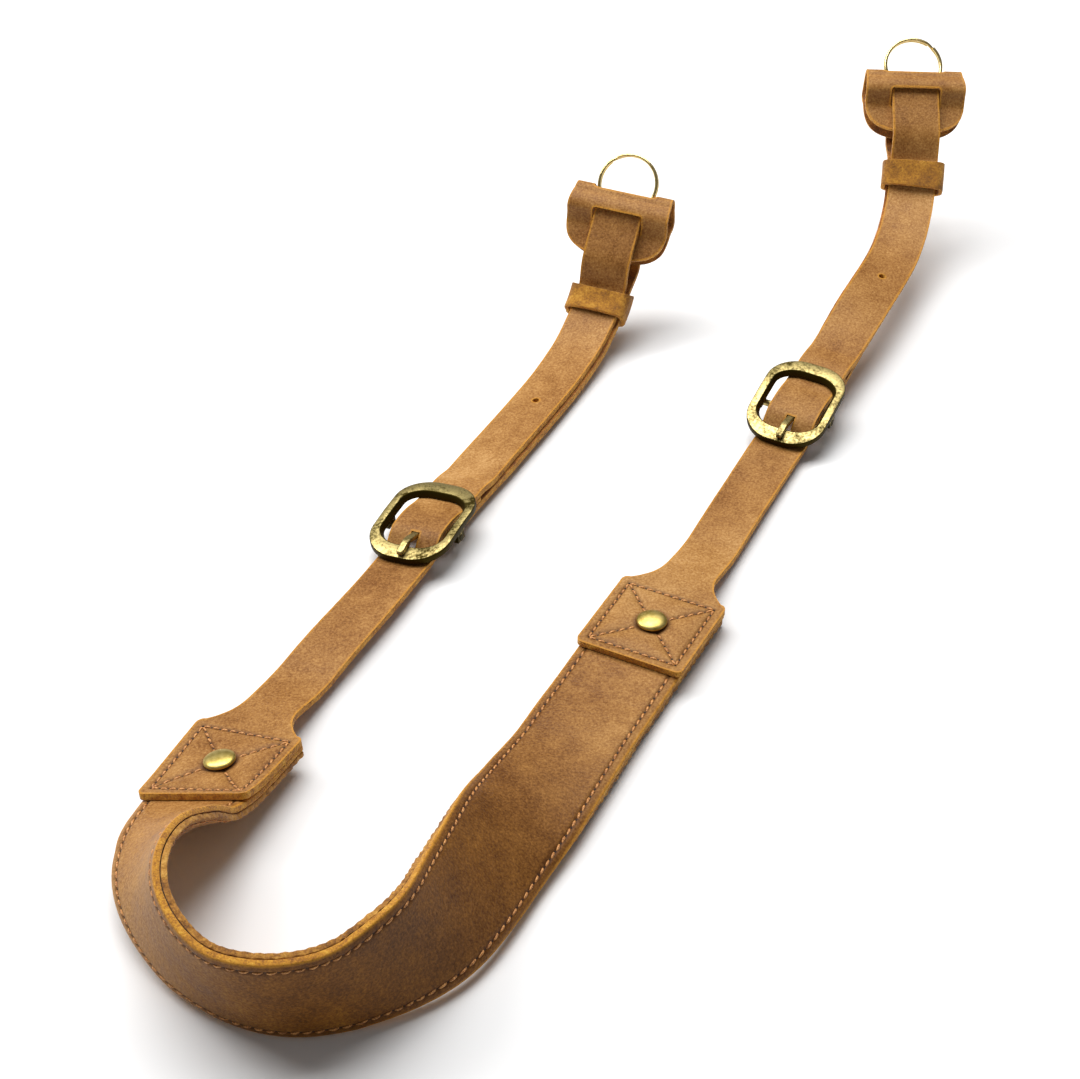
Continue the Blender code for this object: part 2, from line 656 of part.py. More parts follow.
def rounded_outline(length, width, corner, steps):
    """A rounded rectangle about the origin, corner by corner."""
    outline = []
    for sx, sy, start in ((1, 1, 0), (-1, 1, 90), (-1, -1, 180), (1, -1, 270)):
        for t in np.radians(np.linspace(start, start + 90, steps)):
            outline.append((sx * (length / 2 - corner) + corner * math.cos(t),
                            sy * (width / 2 - corner) + corner * math.sin(t)))
    return outline


def add_buckle(side, run, shade, parent):
    """The frame with its centre bar in one casting, and the prong on the bar."""
    name = side + "_buckle_frame"
    outer = rounded_outline(BUCKLE_LENGTH, BUCKLE_WIDTH, BUCKLE_CORNER, 7)
    inner_corner = BUCKLE_CORNER - (BUCKLE_END_FACE + BUCKLE_SIDE_FACE) / 2
    inner = rounded_outline(BUCKLE_LENGTH - 2 * BUCKLE_END_FACE,
                            BUCKLE_WIDTH - 2 * BUCKLE_SIDE_FACE, inner_corner, 7)
    low, high = -BUCKLE_THICKNESS / 2, BUCKLE_THICKNESS / 2
    rings = []
    for (ox, oy), (ix, iy) in zip(outer, inner):
        bevel = Vector((ox - ix, oy - iy, 0)).normalized() * BUCKLE_EDGE
        section = ((ox, oy, low), (ox, oy, high - BUCKLE_EDGE),
                   (ox - bevel.x, oy - bevel.y, high), (ix + bevel.x, iy + bevel.y, high),
                   (ix, iy, high - BUCKLE_EDGE), (ix, iy, low))
        rings.append([(x, y, z + frame_arch(x)) for x, y, z in section])
    casting = add_object(name, loft(name, rings, closed=True), shade, parent)
    casting.matrix_basis = span_frame(run)
    frame = run.frame(PATCH_TO_BAR) @ Matrix.Translation((0, BUCKLE_SHIFT, 0))

    # The bar and the two lugs that carry it below the frame
    bar_end = BUCKLE_WIDTH / 2 - BUCKLE_BAR_INSET
    bar = [[(x, y, BAR_HEIGHT + z) for x, z in circle(BUCKLE_BAR_DIAMETER, 12)]
           for y in (-bar_end, bar_end)]
    rod = as_cutter(add_object(side + "_bar_form", loft("bar", bar), parent=parent))
    rod.matrix_basis = frame
    boolean(casting, rod, "UNION")
    under = BAR_HEIGHT - 0.42 * BUCKLE_BAR_DIAMETER
    over = frame_rise(0) - 0.2 * BUCKLE_THICKNESS
    half = BUCKLE_LUG_LENGTH / 2
    outer_y = bar_end - BUCKLE_BAR_INSET / 2
    inner_y = outer_y - BUCKLE_LUG_WIDTH
    for low_y, high_y in ((inner_y, outer_y), (-outer_y, -inner_y)):
        lug = box_cutter(side + "_lug_form", frame, (-half, low_y, under),
                         (half, high_y, over), parent)
        boolean(casting, lug, "UNION")
    add_prong(side, run, shade, parent)


def frame_arch(s):
    """How far the buckle's frame is domed at a distance s from its middle."""
    return BUCKLE_DOME * (1 - (2 * s / BUCKLE_LENGTH) ** 2)


def frame_rise(s):
    """Middle height of the buckle's frame over the run, at s from the centre bar."""
    return BUCKLE_HEIGHT + BUCKLE_SLOPE * s + frame_arch(s)


def span_frame(run):
    """Matrix of the buckle's frame, laid on the strap by its two ends."""
    half = BUCKLE_LENGTH / 2
    ends = run.place([PATCH_TO_BAR - half, PATCH_TO_BAR + half], [BUCKLE_SHIFT] * 2,
                     [NEAR_END_UNDER + BUCKLE_THICKNESS / 2,
                      FAR_END_UNDER + BUCKLE_THICKNESS / 2])
    along = Vector(ends[1] - ends[0]).normalized()
    across = run.frame(PATCH_TO_BAR).col[1].to_3d()
    out = along.cross(across).normalized()
    turn = Matrix((along, out.cross(along), out)).transposed().to_4x4()
    return Matrix.Translation((ends[0] + ends[1]) / 2) @ turn


def prong_line():
    """The prong's middle line: its eye round the bar, then its shank up onto the frame."""
    radius = BAR_CLEARANCE + PRONG_EYE_THICKNESS / 2
    eye = arc((PATCH_TO_BAR, BAR_HEIGHT), radius, -140, 90, 12)
    tip = BUCKLE_LENGTH / 2 - GAP
    seat = BUCKLE_THICKNESS / 2 + PRONG_THICKNESS / 2 + 2 * GAP
    ends = [frame_rise(-s) + seat for s in (NEAR_EDGE, END_REACH, tip)]
    top = BAR_HEIGHT + radius
    place = (0.0, 0.45 * NEAR_EDGE, NEAR_EDGE, END_REACH, tip)
    height = (top, top + 0.4 * (ends[0] - top), *ends)
    shank = [(PATCH_TO_BAR - s, float(smooth(place, height, s)))
             for s in spaced(1.5 * MM, tip, 2 * MM)]
    return eye, shank


def add_prong(side, run, shade, parent):
    eye, shank_line = prong_line()
    line = eye + shank_line
    distance = PATCH_TO_BAR - np.array([point[0] for point in line])
    distance[:len(eye)] = 0
    shank = np.clip((distance - 1 * MM) / (3 * MM), 0, 1)
    width = PRONG_EYE_WIDTH + (PRONG_WIDTH - PRONG_EYE_WIDTH) * shank
    thick = PRONG_EYE_THICKNESS + (PRONG_THICKNESS - PRONG_EYE_THICKNESS) * shank
    name = side + "_buckle_prong"
    mesh = strip(name, run, line[::-1], width[::-1] / 2, thick[::-1],
                 (PRONG_EDGE, PRONG_EDGE))
    add_object(name, mesh, shade, parent)


def cut_strap_for_prong(side, run, strap, parent):
    """The hole that the prong comes up through, and the slot in the lap round the bar."""
    rise = [point for point in prong_line()[1] if PATCH_TO_BAR - point[0] < NEAR_EDGE]
    half = PRONG_WIDTH / 2 + 1.5 * GAP
    mesh = strip(side + "_prong_hole", run, rise[::-1], half, PRONG_THICKNESS + 3 * GAP)
    boolean(strap, as_cutter(add_object(side + "_prong_hole_cutter", mesh, parent=parent)))
    eye = BAR_CLEARANCE + PRONG_EYE_THICKNESS + GAP
    wrap = WRAP_RADIUS + SKIVED_THICKNESS / 2
    half = PRONG_EYE_WIDTH / 2 + 1.5 * GAP
    slot = box_cutter(side + "_prong_slot_cutter", run.frame(PATCH_TO_BAR, BAR_HEIGHT),
                      (-wrap - GAP, -half, -wrap - STRAP_THICKNESS),
                      (eye + 1 * MM, half, wrap + GAP / 2), parent)
    boolean(strap, slot)


def add_keeper(side, run, shade, parent):
    """A leather loop round both layers of the strap."""
    ease = 1.5 * GAP
    inner_width = STRAP_WIDTH + 2 * BACK_LAYER_SHIFT + 2 * ease
    inner_height = 2 * STRAP_THICKNESS + GAP + 2 * ease
    inner = rounded_outline(inner_width, inner_height, 2 * GAP, 3)
    outer = rounded_outline(inner_width + 2 * KEEPER_THICKNESS,
                            inner_height + 2 * KEEPER_THICKNESS, KEEPER_THICKNESS, 3)
    middle = FOLD_S - KEEPER_TO_FOLD
    ends = np.array((-0.5, -0.25, 0, 0.25, 0.5)) * KEEPER_WIDTH + middle
    s = np.concatenate([ends, ends[::-1]])
    rings = []
    for (outer_a, outer_n), (inner_a, inner_n) in zip(outer, inner):
        a = np.repeat((outer_a, inner_a), len(ends))
        n = np.repeat((outer_n, inner_n), len(ends))
        rings.append(run.place(s, a, n))
    name = side + "_keeper"
    add_object(name, loft(name, rings, closed=True), shade, parent)


def guard_line():
    """The guard's middle line in the side view, from the front flap over the fold."""
    steps = spaced(GUARD_FLAP, GUARD_FOLD_RADIUS + 1 * MM, 2.4 * MM)
    front = [(FOLD_S - q, guard_height(q, "front")) for q in steps]
    turn = arc((FOLD_S - GUARD_FOLD_RADIUS, 0), GUARD_FOLD_RADIUS, 90, -90, 8)
    back = [(FOLD_S - q, -guard_height(q, "back")) for q in steps[::-1]]
    return front + turn + back


def add_guard(side, run, shade, parent):
    """A leather tab folded over the ring, with two slots and an opening at the fold."""
    line = guard_line()
    below = FOLD_S - np.array([point[0] for point in line])
    fold, full = GUARD_FOLD_WIDTH / 2, GUARD_WIDTH / 2
    widen = np.clip(below / LOOP_TO_FOLD, 0, 1)
    lobe = np.clip((below - (GUARD_FLAP - GUARD_LOBE)) / GUARD_LOBE, 0, 0.99)
    rounding = (1 - lobe ** GUARD_LOBE_POWER) ** (1 / GUARD_LOBE_POWER)
    half = (fold + (full - fold) * widen) * rounding
    name = side + "_ring_guard"
    piece = add_object(name, strip(name, run, line, half, GUARD_THICKNESS), shade, parent)
    frame = run.frame(FOLD_S)
    depth = 5 * GUARD_FOLD_RADIUS
    slot_half = STRAP_WIDTH / 2 + 2 * GAP
    slots = box_cutter(side + "_slot_cutter", frame, (-SLOT_END, -slot_half, -depth),
                       (-GUARD_BRIDGE, slot_half, depth), parent)
    boolean(piece, slots)
    reach = RING_DIAMETER / 2 + 3 * GAP
    mouth = 0.95 * (GUARD_FOLD_RADIUS - GUARD_THICKNESS / 2)
    opening = box_cutter(side + "_fold_cutter", frame, (-GUARD_FOLD_RADIUS, -reach, -mouth),
                         (GUARD_THICKNESS, reach, mouth), parent)
    boolean(piece, opening)


def add_ring(side, run, shade, parent):
    """A split ring of two turns of wire, closed here into one ring."""
    wire = RING_WIRE / 2
    middle = RING_DIAMETER / 2 - wire
    profile = [(middle + x, z + wire) for x, z in arc((0, 0), wire, 0, 180, 4)]
    profile += [(middle + x, z - wire) for x, z in arc((0, 0), wire, 180, 360, 4)]
    name = side + "_split_ring"
    ring = add_object(name, turned(name, profile, 24, closed=True), shade, parent)
    room = 0.98 * (LOOP_RADIUS - STRAP_THICKNESS / 2) - 1.5 * GAP - wire
    sag = middle - math.sqrt(middle ** 2 - (LOOP_WAIST / 2) ** 2)
    wire_q = LOOP_TO_FOLD - math.sqrt(room ** 2 - wire ** 2) + sag
    ring.matrix_basis = run.frame(FOLD_S - wire_q + middle)


def build():
    for old in list(bpy.data.objects):
        bpy.data.objects.remove(old)
    origin = bpy.data.objects.new("strap_origin", None)
    bpy.context.scene.collection.objects.link(origin)
    shades = {
        "grain": material("oiled_leather", (0.36, 0.17, 0.055), 0.5),
        "suede": material("rough_leather", (0.42, 0.19, 0.05), 0.9),
        "brass": material("antique_brass", (0.55, 0.42, 0.13), 0.35, 1.0),
        "rivet": material("rivet_brass", (0.62, 0.49, 0.18), 0.3, 1.0),
        "ring": material("gold_plate", (0.80, 0.62, 0.28), 0.2, 1.0),
    }
    pad = pad_run()
    leathers = add_pad(pad, shades, origin)
    for side, bends, shift_sign in (("left", LEFT_BENDS, -1), ("right", RIGHT_BENDS, 1)):
        run = strap_run(pad, bends, side)
        strap = add_strap(side, run, shades["grain"], origin, shift_sign)
        cut_strap_for_prong(side, run, strap, origin)
        add_rivet(side, run, shades["rivet"], origin, leathers + (strap,))
        add_buckle(side, run, shades["brass"], origin)
        add_keeper(side, run, shades["suede"], origin)
        add_guard(side, run, shades["grain"], origin)
        add_ring(side, run, shades["ring"], origin)
    stand_on_origin(origin)


def stand_on_origin(origin):
    """Moves the whole strap so that z = 0 is under it and its middle is at x = y = 0."""
    bpy.context.view_layer.update()
    corners = [piece.matrix_world @ vertex.co for piece in bpy.data.objects
               if piece.type == "MESH" and not piece.hide_render
               for vertex in piece.data.vertices]
    low = [min(corner[k] for corner in corners) for k in range(3)]
    high = [max(corner[k] for corner in corners) for k in range(3)]
    origin.location = (-(low[0] + high[0]) / 2, -(low[1] + high[1]) / 2, -low[2])
    bpy.context.view_layer.update()


build()
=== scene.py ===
import functools
import math
import bpy
import numpy as np
from mathutils import Matrix, Vector, kdtree, noise


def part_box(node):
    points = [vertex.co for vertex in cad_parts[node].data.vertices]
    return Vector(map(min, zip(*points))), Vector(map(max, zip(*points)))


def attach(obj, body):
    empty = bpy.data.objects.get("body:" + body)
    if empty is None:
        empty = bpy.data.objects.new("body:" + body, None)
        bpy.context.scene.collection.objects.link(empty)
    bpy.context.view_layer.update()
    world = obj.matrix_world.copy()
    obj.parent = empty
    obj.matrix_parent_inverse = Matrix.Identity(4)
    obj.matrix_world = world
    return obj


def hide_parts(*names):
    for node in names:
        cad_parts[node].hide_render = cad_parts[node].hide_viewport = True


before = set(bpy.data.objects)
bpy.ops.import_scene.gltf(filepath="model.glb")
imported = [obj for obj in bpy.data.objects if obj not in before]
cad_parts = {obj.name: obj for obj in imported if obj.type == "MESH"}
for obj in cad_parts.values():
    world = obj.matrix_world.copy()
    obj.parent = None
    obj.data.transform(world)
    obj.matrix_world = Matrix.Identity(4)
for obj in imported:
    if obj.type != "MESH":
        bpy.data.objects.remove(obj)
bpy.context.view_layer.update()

mm = 0.001
gap = 0.3 * mm                          # clearance between pieces that touch
rng = np.random.default_rng(7)
noise.seed_set(7)                       # without it the frayed edges differ at each run

# Sizes that the CAD has too are those of the part's source
pad = {
    "length": 402 * mm, "width": 38 * mm, "top": 2.8 * mm, "lining": 2.0 * mm,
    "margin": 3.2 * mm, "marginDrop": 0.8 * mm, "heading": -117,
    "bends": (                          # share of the length, turn, bank, lift
        (0.00, 0, 0, 0.00), (0.10, 0, 0, 0.00), (0.20, 2, 0, 0.03), (0.28, 5, 12, 0.02),
        (0.36, 7, 37, 0.00), (0.44, 3, 53, 0.03), (0.51, -20, 77, 0.04),
        (0.58, -49, 96, 0.01), (0.65, -87, 101, 0.01), (0.72, -119, 88, 0.08),
        (0.80, -155, 57, 0.15), (0.845, -168, 37, 0.13), (0.89, -174, 19, 0.07),
        (0.93, -176, 13, 0.02), (1.00, -177, 8, 0.00),
    ),
    # Painted shade by the share of the length: darkest over the turn, where the pad stands on
    # edge away from the top light
    "paintedShading": ((0.0, 0.0), (0.14, 0.1), (0.26, 0.6), (0.36, 1.0), (0.60, 1.0), (0.70, 0.4),
                 (0.80, 0.0), (1.0, 0.0)),
    "rowStep": 1.2 * mm, "grooveDepth": 0.42 * mm, "grooveWidth": 0.6 * mm, "pucker": 0.3,
    "rollShare": 0.85, "rollPower": 1.7, "bevel": 0.35 * mm, "fray": 0.09 * mm,
    "liningGroove": 0.35 * mm, "liningBevel": 0.3 * mm, "liningFray": 0.3 * mm,
    "scallop": 0.5 * mm, "scallopReach": 1.2 * mm,
}
strap = {
    "width": 20 * mm, "thickness": 2.3 * mm, "patch": 40 * mm, "patchCorner": 2.5 * mm,
    "flare": 18 * mm, "flarePower": 3, "patchToBar": 124 * mm, "barToFold": 203 * mm,
    "rise": 49 * mm, "settle": 38 * mm, "shift": 1.0 * mm, "skived": 1.4 * mm,
    "lap": 25 * mm, "loopWaist": 11 * mm, "loopRadius": 3.3 * mm, "loopToFold": 8.2 * mm,
    "holeWidth": 2.8 * mm, "holeToBar": 92 * mm,
    "bends": {
        "left": (
            (0.00, 0, 0, 0.01), (0.19, -3.5, 2, 0.08), (0.34, -0.5, 5, 0.05),
            (0.54, -1.5, 5, 0.02), (0.64, -3, 6, 0.01), (0.76, -1.5, 6, 0.01),
            (0.84, -0.5, 5, 0.05), (0.92, 0, 2, 0.22), (1.00, 1.5, -3, 0.58),
        ),
        "right": (
            (0.00, 0, 0, 0.01), (0.16, 2.5, 2, 0.04), (0.34, 1, -2, 0.05),
            (0.54, -0.5, -2, 0.19), (0.66, 1.5, -12, 0.25), (0.77, 4, -9, 0.27),
            (0.88, 13, -3, 0.45), (1.00, 26, -3, 0.92),
        ),
    },
    "climb": ((-1.12, 0.0), (-0.86, 0.03), (-0.68, 0.19), (-0.50, 0.67), (-0.33, 0.95),
              (0.0, 1.0)),
    "fall": ((0.26, 0.8), (0.56, 0.2), (0.82, 0.0)),
    "rowStep": 1.6 * mm, "patchStep": 0.68 * mm, "sewnInset": 3.5 * mm,
    "puff": 0.5 * mm, "puffReach": 3.0 * mm, "groove": 0.42 * mm, "grooveWidth": 0.7 * mm,
    "seat": 0.45 * mm, "seatReach": 5.6 * mm, "seatEdge": 5 * mm, "rimFade": 1.6,
    "bevel": 0.32 * mm, "fray": 0.07 * mm, "flareStep": 1.0 * mm,
    "barSlot": (12 * mm, 4 * mm), "barSlotCorner": 1.9 * mm,
    # Painted shade by the share of the cut length: a little over the patch, more where the strap
    # climbs under the buckle and where it runs inside the guard and round the ring
    "paintedShading": ((0.0, 0.12), (0.06, 0.12), (0.09, 0.0), (0.21, 0.0), (0.24, 0.35),
                 (0.275, 0.35), (0.30, 0.05), (0.33, 0.0), (0.535, 0.0), (0.56, 0.5),
                 (0.68, 0.5), (0.72, 0.0), (1.0, 0.0)),
}
rivet = {"cap": 10.9 * mm, "capHeight": 2.2 * mm, "shank": 3.2 * mm, "base": 9.0 * mm,
         "baseThickness": 0.8 * mm, "curl": 0.35 * mm, "rimHeight": 0.25,
         "domeSteps": 12, "steps": 56}
buckle = {
    "length": 44 * mm, "width": 32 * mm, "shift": 1.2 * mm, "corner": 13 * mm,
    "endFace": 6.2 * mm, "sideFace": 3.0 * mm, "thickness": 2.6 * mm, "dome": 1.5 * mm,
    "bar": 2.6 * mm, "lugLength": 5.0 * mm, "lugWidth": 2.2 * mm, "barInset": 0.4 * mm,
    "draft": 1.3 * mm, "bevel": 0.4 * mm, "unevenness": 0.05 * mm, "wave": 3.2 * mm,
    "cornerSteps": 14,
}
prong = {"width": 2.8 * mm, "thickness": 1.9 * mm, "eyeWidth": 3.4 * mm, "eye": 1.0 * mm,
         "eyeStart": -140, "eyeSteps": 24, "swell": 3 * mm, "tip": 1.4 * mm, "blunt": 0.4,
         "rowStep": 0.6 * mm, "bevel": 0.5 * mm}
keeper = {"width": 12 * mm, "thickness": 1.8 * mm, "toFold": 47 * mm, "corner": 1.6 * mm,
          "stand": 0.35 * mm, "flare": 0.5 * mm, "fray": 0.14 * mm, "steps": 112}
guard = {
    "foldWidth": 41 * mm, "width": 43 * mm, "flap": 28 * mm, "thickness": 1.7 * mm,
    "foldRadius": 3.1 * mm, "lobe": 16 * mm, "lobePower": 3, "bridge": 9.3 * mm,
    "slot": 7.5 * mm, "spread": {"front": 1.3 * mm, "back": 6.0 * mm},
    "flaps": (                          # place to the slot's end, bulge, share of spread
        (0.33, 0.80, 0.0), (0.50, 1.0, 0.0), (0.56, 1.0, 0.0), (0.78, 0.40, 0.1),
        (1.0, 0.0, 0.38), (1.27, 0.0, 0.62),
    ),
    # Painted shade by the share of the tab's length: darkest at both lobe ends, lightest over
    # the fold
    "paintedShading": ((0.0, 0.45), (0.22, 0.4), (0.36, 0.1), (0.64, 0.1), (0.78, 0.4), (1.0, 0.45)),
    "slotCorner": 1.2 * mm, "mouth": 5.4 * mm, "mouthCorner": 2.2 * mm, "endRows": 2.4 * mm,
    "rowStep": 0.9 * mm, "bevel": 0.3 * mm, "fray": 0.1 * mm,
}


def readTable(places, values, at):
    # Monotone cubic through a table's rows, without overshoot
    places, values, at = (np.asarray(v, float) for v in (places, values, at))
    width = np.diff(places)
    slope = np.diff(values) / width
    grade = np.zeros(len(places))
    grade[0], grade[-1] = slope[0], slope[-1]
    for i in range(1, len(places) - 1):
        if slope[i - 1] * slope[i] > 0:
            before = 2 * width[i] + width[i - 1]
            after = width[i] + 2 * width[i - 1]
            grade[i] = (before + after) / (before / slope[i - 1] + after / slope[i])
    cell = np.clip(np.searchsorted(places, at, side="right") - 1, 0, len(width) - 1)
    t = (at - places[cell]) / width[cell]
    return (values[cell] * (1 + 2 * t) * (1 - t) ** 2
            + width[cell] * grade[cell] * t * (1 - t) ** 2
            + values[cell + 1] * t ** 2 * (3 - 2 * t)
            - width[cell] * grade[cell + 1] * t ** 2 * (1 - t))


def unit(vectors):
    return vectors / np.linalg.norm(vectors, axis=-1, keepdims=True)


class Run:
    # The line that leather lies along: s down it, across to the left, out of its skin
    def __init__(self, s, point, along, across):
        self.s, self.point, self.along, self.across = s, point, along, across

    def at(self, s):
        s = np.atleast_1d(np.asarray(s, float))
        inside = np.clip(s, self.s[0], self.s[-1])
        blend = [np.stack([np.interp(inside, self.s, rows[:, k]) for k in range(3)], axis=-1)
                 for rows in (self.point, self.along, self.across)]
        along, across = unit(blend[1]), unit(blend[2])
        point = blend[0] + (s - inside)[:, None] * along
        return point, along, across, np.cross(along, across)

    def place(self, s, a, n):
        point, _, across, out = self.at(s)
        return point + np.asarray(a)[..., None] * across + np.asarray(n)[..., None] * out

    def frame(self, s, n=0.0):
        point, along, across, out = (Vector(v[0]) for v in self.at(s))
        turn = Matrix((along, across, out)).transposed().to_4x4()
        return Matrix.Translation(point + n * out) @ turn


def layRun(start, length, heading, bank, height):
    # A run by its heading, bank and height at even steps along it
    s = np.linspace(0, length, len(height))
    level = np.sqrt(np.maximum(np.diff(s) ** 2 - np.diff(height) ** 2, 0))
    middle = (heading[1:] + heading[:-1]) / 2
    x = start[0] + np.concatenate([[0], np.cumsum(level * np.cos(middle))])
    y = start[1] + np.concatenate([[0], np.cumsum(level * np.sin(middle))])
    point = np.stack([x, y, height], axis=-1)
    along = unit(np.gradient(point, axis=0))
    side = unit(np.cross([0.0, 0.0, 1.0], along))
    up = np.cross(along, side)
    across = side * np.cos(bank)[:, None] - up * np.sin(bank)[:, None]
    return Run(s, point, along, across)


runSteps = 400
patchSteps = 40
layerOffset = (strap["thickness"] + gap) / 2
padThickness = pad["top"] + gap + pad["lining"]
strapRun = strap["patchToBar"] + strap["barToFold"]
bentRun = strapRun - guard["flap"]


def padRun(start):
    # The pad's skin, from the right patch round to the left one
    shares = np.linspace(0, 1, runSteps + 1)
    place, turn, roll, rise = zip(*pad["bends"])
    heading = np.radians(pad["heading"] + readTable(place, turn, shares))
    bank = np.radians(readTable(place, roll, shares))
    toEnd = pad["length"] * np.minimum(shares, 1 - shares)
    nearRivet = np.clip((strap["patch"] * 1.5 - toEnd) / (strap["patch"] / 2), 0, 1)
    rivetLow = np.sin(bank) * (pad["width"] - rivet["base"]) / 2
    lift = (readTable(place, rise, shares) * pad["width"]
            + nearRivet * np.maximum(rivet["baseThickness"] + gap - rivetLow, 0))
    height = (lift + np.abs(np.sin(bank)) * pad["width"] / 2
              + np.maximum(np.cos(bank), 0) * padThickness)
    return layRun(start, pad["length"], heading, bank, height)


def strapRunOf(side, padLine):
    # The plane between the strap's two layers, from its patch to its ring
    ends = {"left": (pad["length"] - strap["patch"], pad["length"], 1),
            "right": (strap["patch"], 0, -1)}[side]
    point, along, across, out = padLine.at(np.linspace(ends[0], ends[1], patchSteps + 1))
    point = point + out * (gap + strap["thickness"] + gap / 2)
    along, across = along * ends[2], across * ends[2]
    shares = np.linspace(0, 1, runSteps + 1)
    place, turn, roll, rise = zip(*strap["bends"][side])
    t = np.clip(shares * bentRun / strap["settle"], 0, 1)
    fade = (1 + 2 * t) * (1 - t) ** 2
    lead = strap["settle"] * t * (1 - t) ** 2
    bank = np.radians(readTable(place, roll, shares))
    height = (readTable(place, rise, shares) * strap["rise"]
              + np.abs(np.sin(bank)) * strap["width"] / 2 + strap["thickness"] + gap / 2)
    bank = bank + (-math.asin(across[-1][2]) - bank[0]) * fade
    height = height + (point[-1][2] - height[0]) * fade + along[-1][2] * lead
    heading = math.atan2(along[-1][1], along[-1][0]) + np.radians(readTable(place, turn, shares))
    rest = layRun(point[-1][:2], bentRun, heading, bank, height)
    return Run(np.concatenate([np.linspace(-strap["patch"], 0, patchSteps + 1)[:-1], rest.s]),
               np.concatenate([point[:-1], rest.point]),
               np.concatenate([along[:-1], rest.along]),
               np.concatenate([across[:-1], rest.across]))


# The right rivet stands level, so its box gives the place of everything
underStrap = -layerOffset - strap["thickness"] / 2
rivetFoot = underStrap - gap - padThickness - gap - rivet["baseThickness"]
low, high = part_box("right_rivet")
drawn = strapRunOf("right", padRun((0, 0))).frame(-strap["patch"] / 2, rivetFoot).translation
padLine = padRun(((low[0] + high[0]) / 2 - drawn.x, (low[1] + high[1]) / 2 - drawn.y))
strapLines = {side: strapRunOf(side, padLine) for side in ("left", "right")}


class Path:
    # The middle of a piece of leather in the side view, (s, n), by the distance along it
    def __init__(self, points, **columns):
        points = np.asarray(points, float)
        steps = np.linalg.norm(np.diff(points, axis=0), axis=1)
        keep = np.concatenate([[True], steps > 1e-7])
        points = points[keep]
        chord = np.concatenate([[0], np.cumsum(steps[keep[1:]])])
        fine = np.linspace(0, chord[-1], int(chord[-1] / (0.25 * mm)) + 2)
        self.u = fine
        self.point = np.stack([readTable(chord, points[:, k], fine) for k in (0, 1)], axis=-1)
        tangent = unit(np.gradient(self.point, axis=0))
        kernel = np.ones(5) / 5
        padded = np.pad(tangent, ((2, 2), (0, 0)), mode="edge")
        self.tangent = unit(np.stack([np.convolve(padded[:, k], kernel, "valid")
                                      for k in (0, 1)], axis=-1))
        self.columns = {name: (chord, np.asarray(values, float)[keep])
                        for name, values in columns.items()}
        self.length = chord[-1]

    def column(self, name, u):
        return np.interp(u, *self.columns[name])

    def at(self, u, h):
        s, n, ts, tn = (np.interp(u, self.u, rows) for rows in
                        (self.point[:, 0], self.point[:, 1],
                         self.tangent[:, 0], self.tangent[:, 1]))
        return s - tn * h, n + ts * h


def spaced(start, end, step):
    return np.linspace(start, end, max(2, int(round(abs(end - start) / step)) + 1))


def arc(centre, radius, start, end, steps):
    angles = np.radians(np.linspace(start, end, steps + 1))
    return [(centre[0] + radius * math.cos(t), centre[1] + radius * math.sin(t))
            for t in angles]


# Heights near the buckle, from the plane between the strap's layers
barClearance = gap + buckle["bar"] / 2
barHeight = underStrap + strap["skived"] + barClearance
wrapRadius = barClearance + strap["skived"] / 2
lapHeight = underStrap + strap["thickness"] + gap + strap["skived"] / 2
overBar = barHeight + barClearance + strap["skived"] + gap + strap["thickness"] / 2
overLap = lapHeight + strap["skived"] / 2 + gap + strap["thickness"] / 2
nearEndUnder = underStrap + strap["thickness"] + gap
farEndUnder = overLap + strap["thickness"] / 2 + gap
buckleSlope = (farEndUnder - nearEndUnder) / buckle["length"]
buckleHeight = (nearEndUnder + farEndUnder + buckle["thickness"]) / 2
endReach = (buckle["length"] - buckle["endFace"]) / 2
nearEdge = buckle["length"] / 2 - buckle["endFace"]
slotEnd = guard["bridge"] + guard["slot"]
flapOver = strap["loopRadius"] + strap["thickness"] / 2 + 2 * gap + guard["thickness"] / 2
flapNear = strap["loopRadius"] - strap["thickness"] / 2 - 1.5 * gap - guard["thickness"] / 2
eyeRadius = barClearance + prong["eye"] / 2
eyeLength = math.radians(90 - prong["eyeStart"]) * eyeRadius
patchTurn = np.radians(np.linspace(0, 90, 7))
patchCurve = (1 - np.cos(patchTurn)) * strap["patchCorner"]


def guardHeight(q, flap):
    # Middle of a flap from the run, q below the fold
    spread = guard["spread"][flap]
    places, heights = [guard["foldRadius"]], [guard["foldRadius"]]
    for place, bulge, share in guard["flaps"]:
        places.append(place * slotEnd)
        heights.append(flapNear + bulge * (flapOver - flapNear) + share * spread)
    return readTable(places + [guard["flap"]], heights + [flapNear + spread], q)


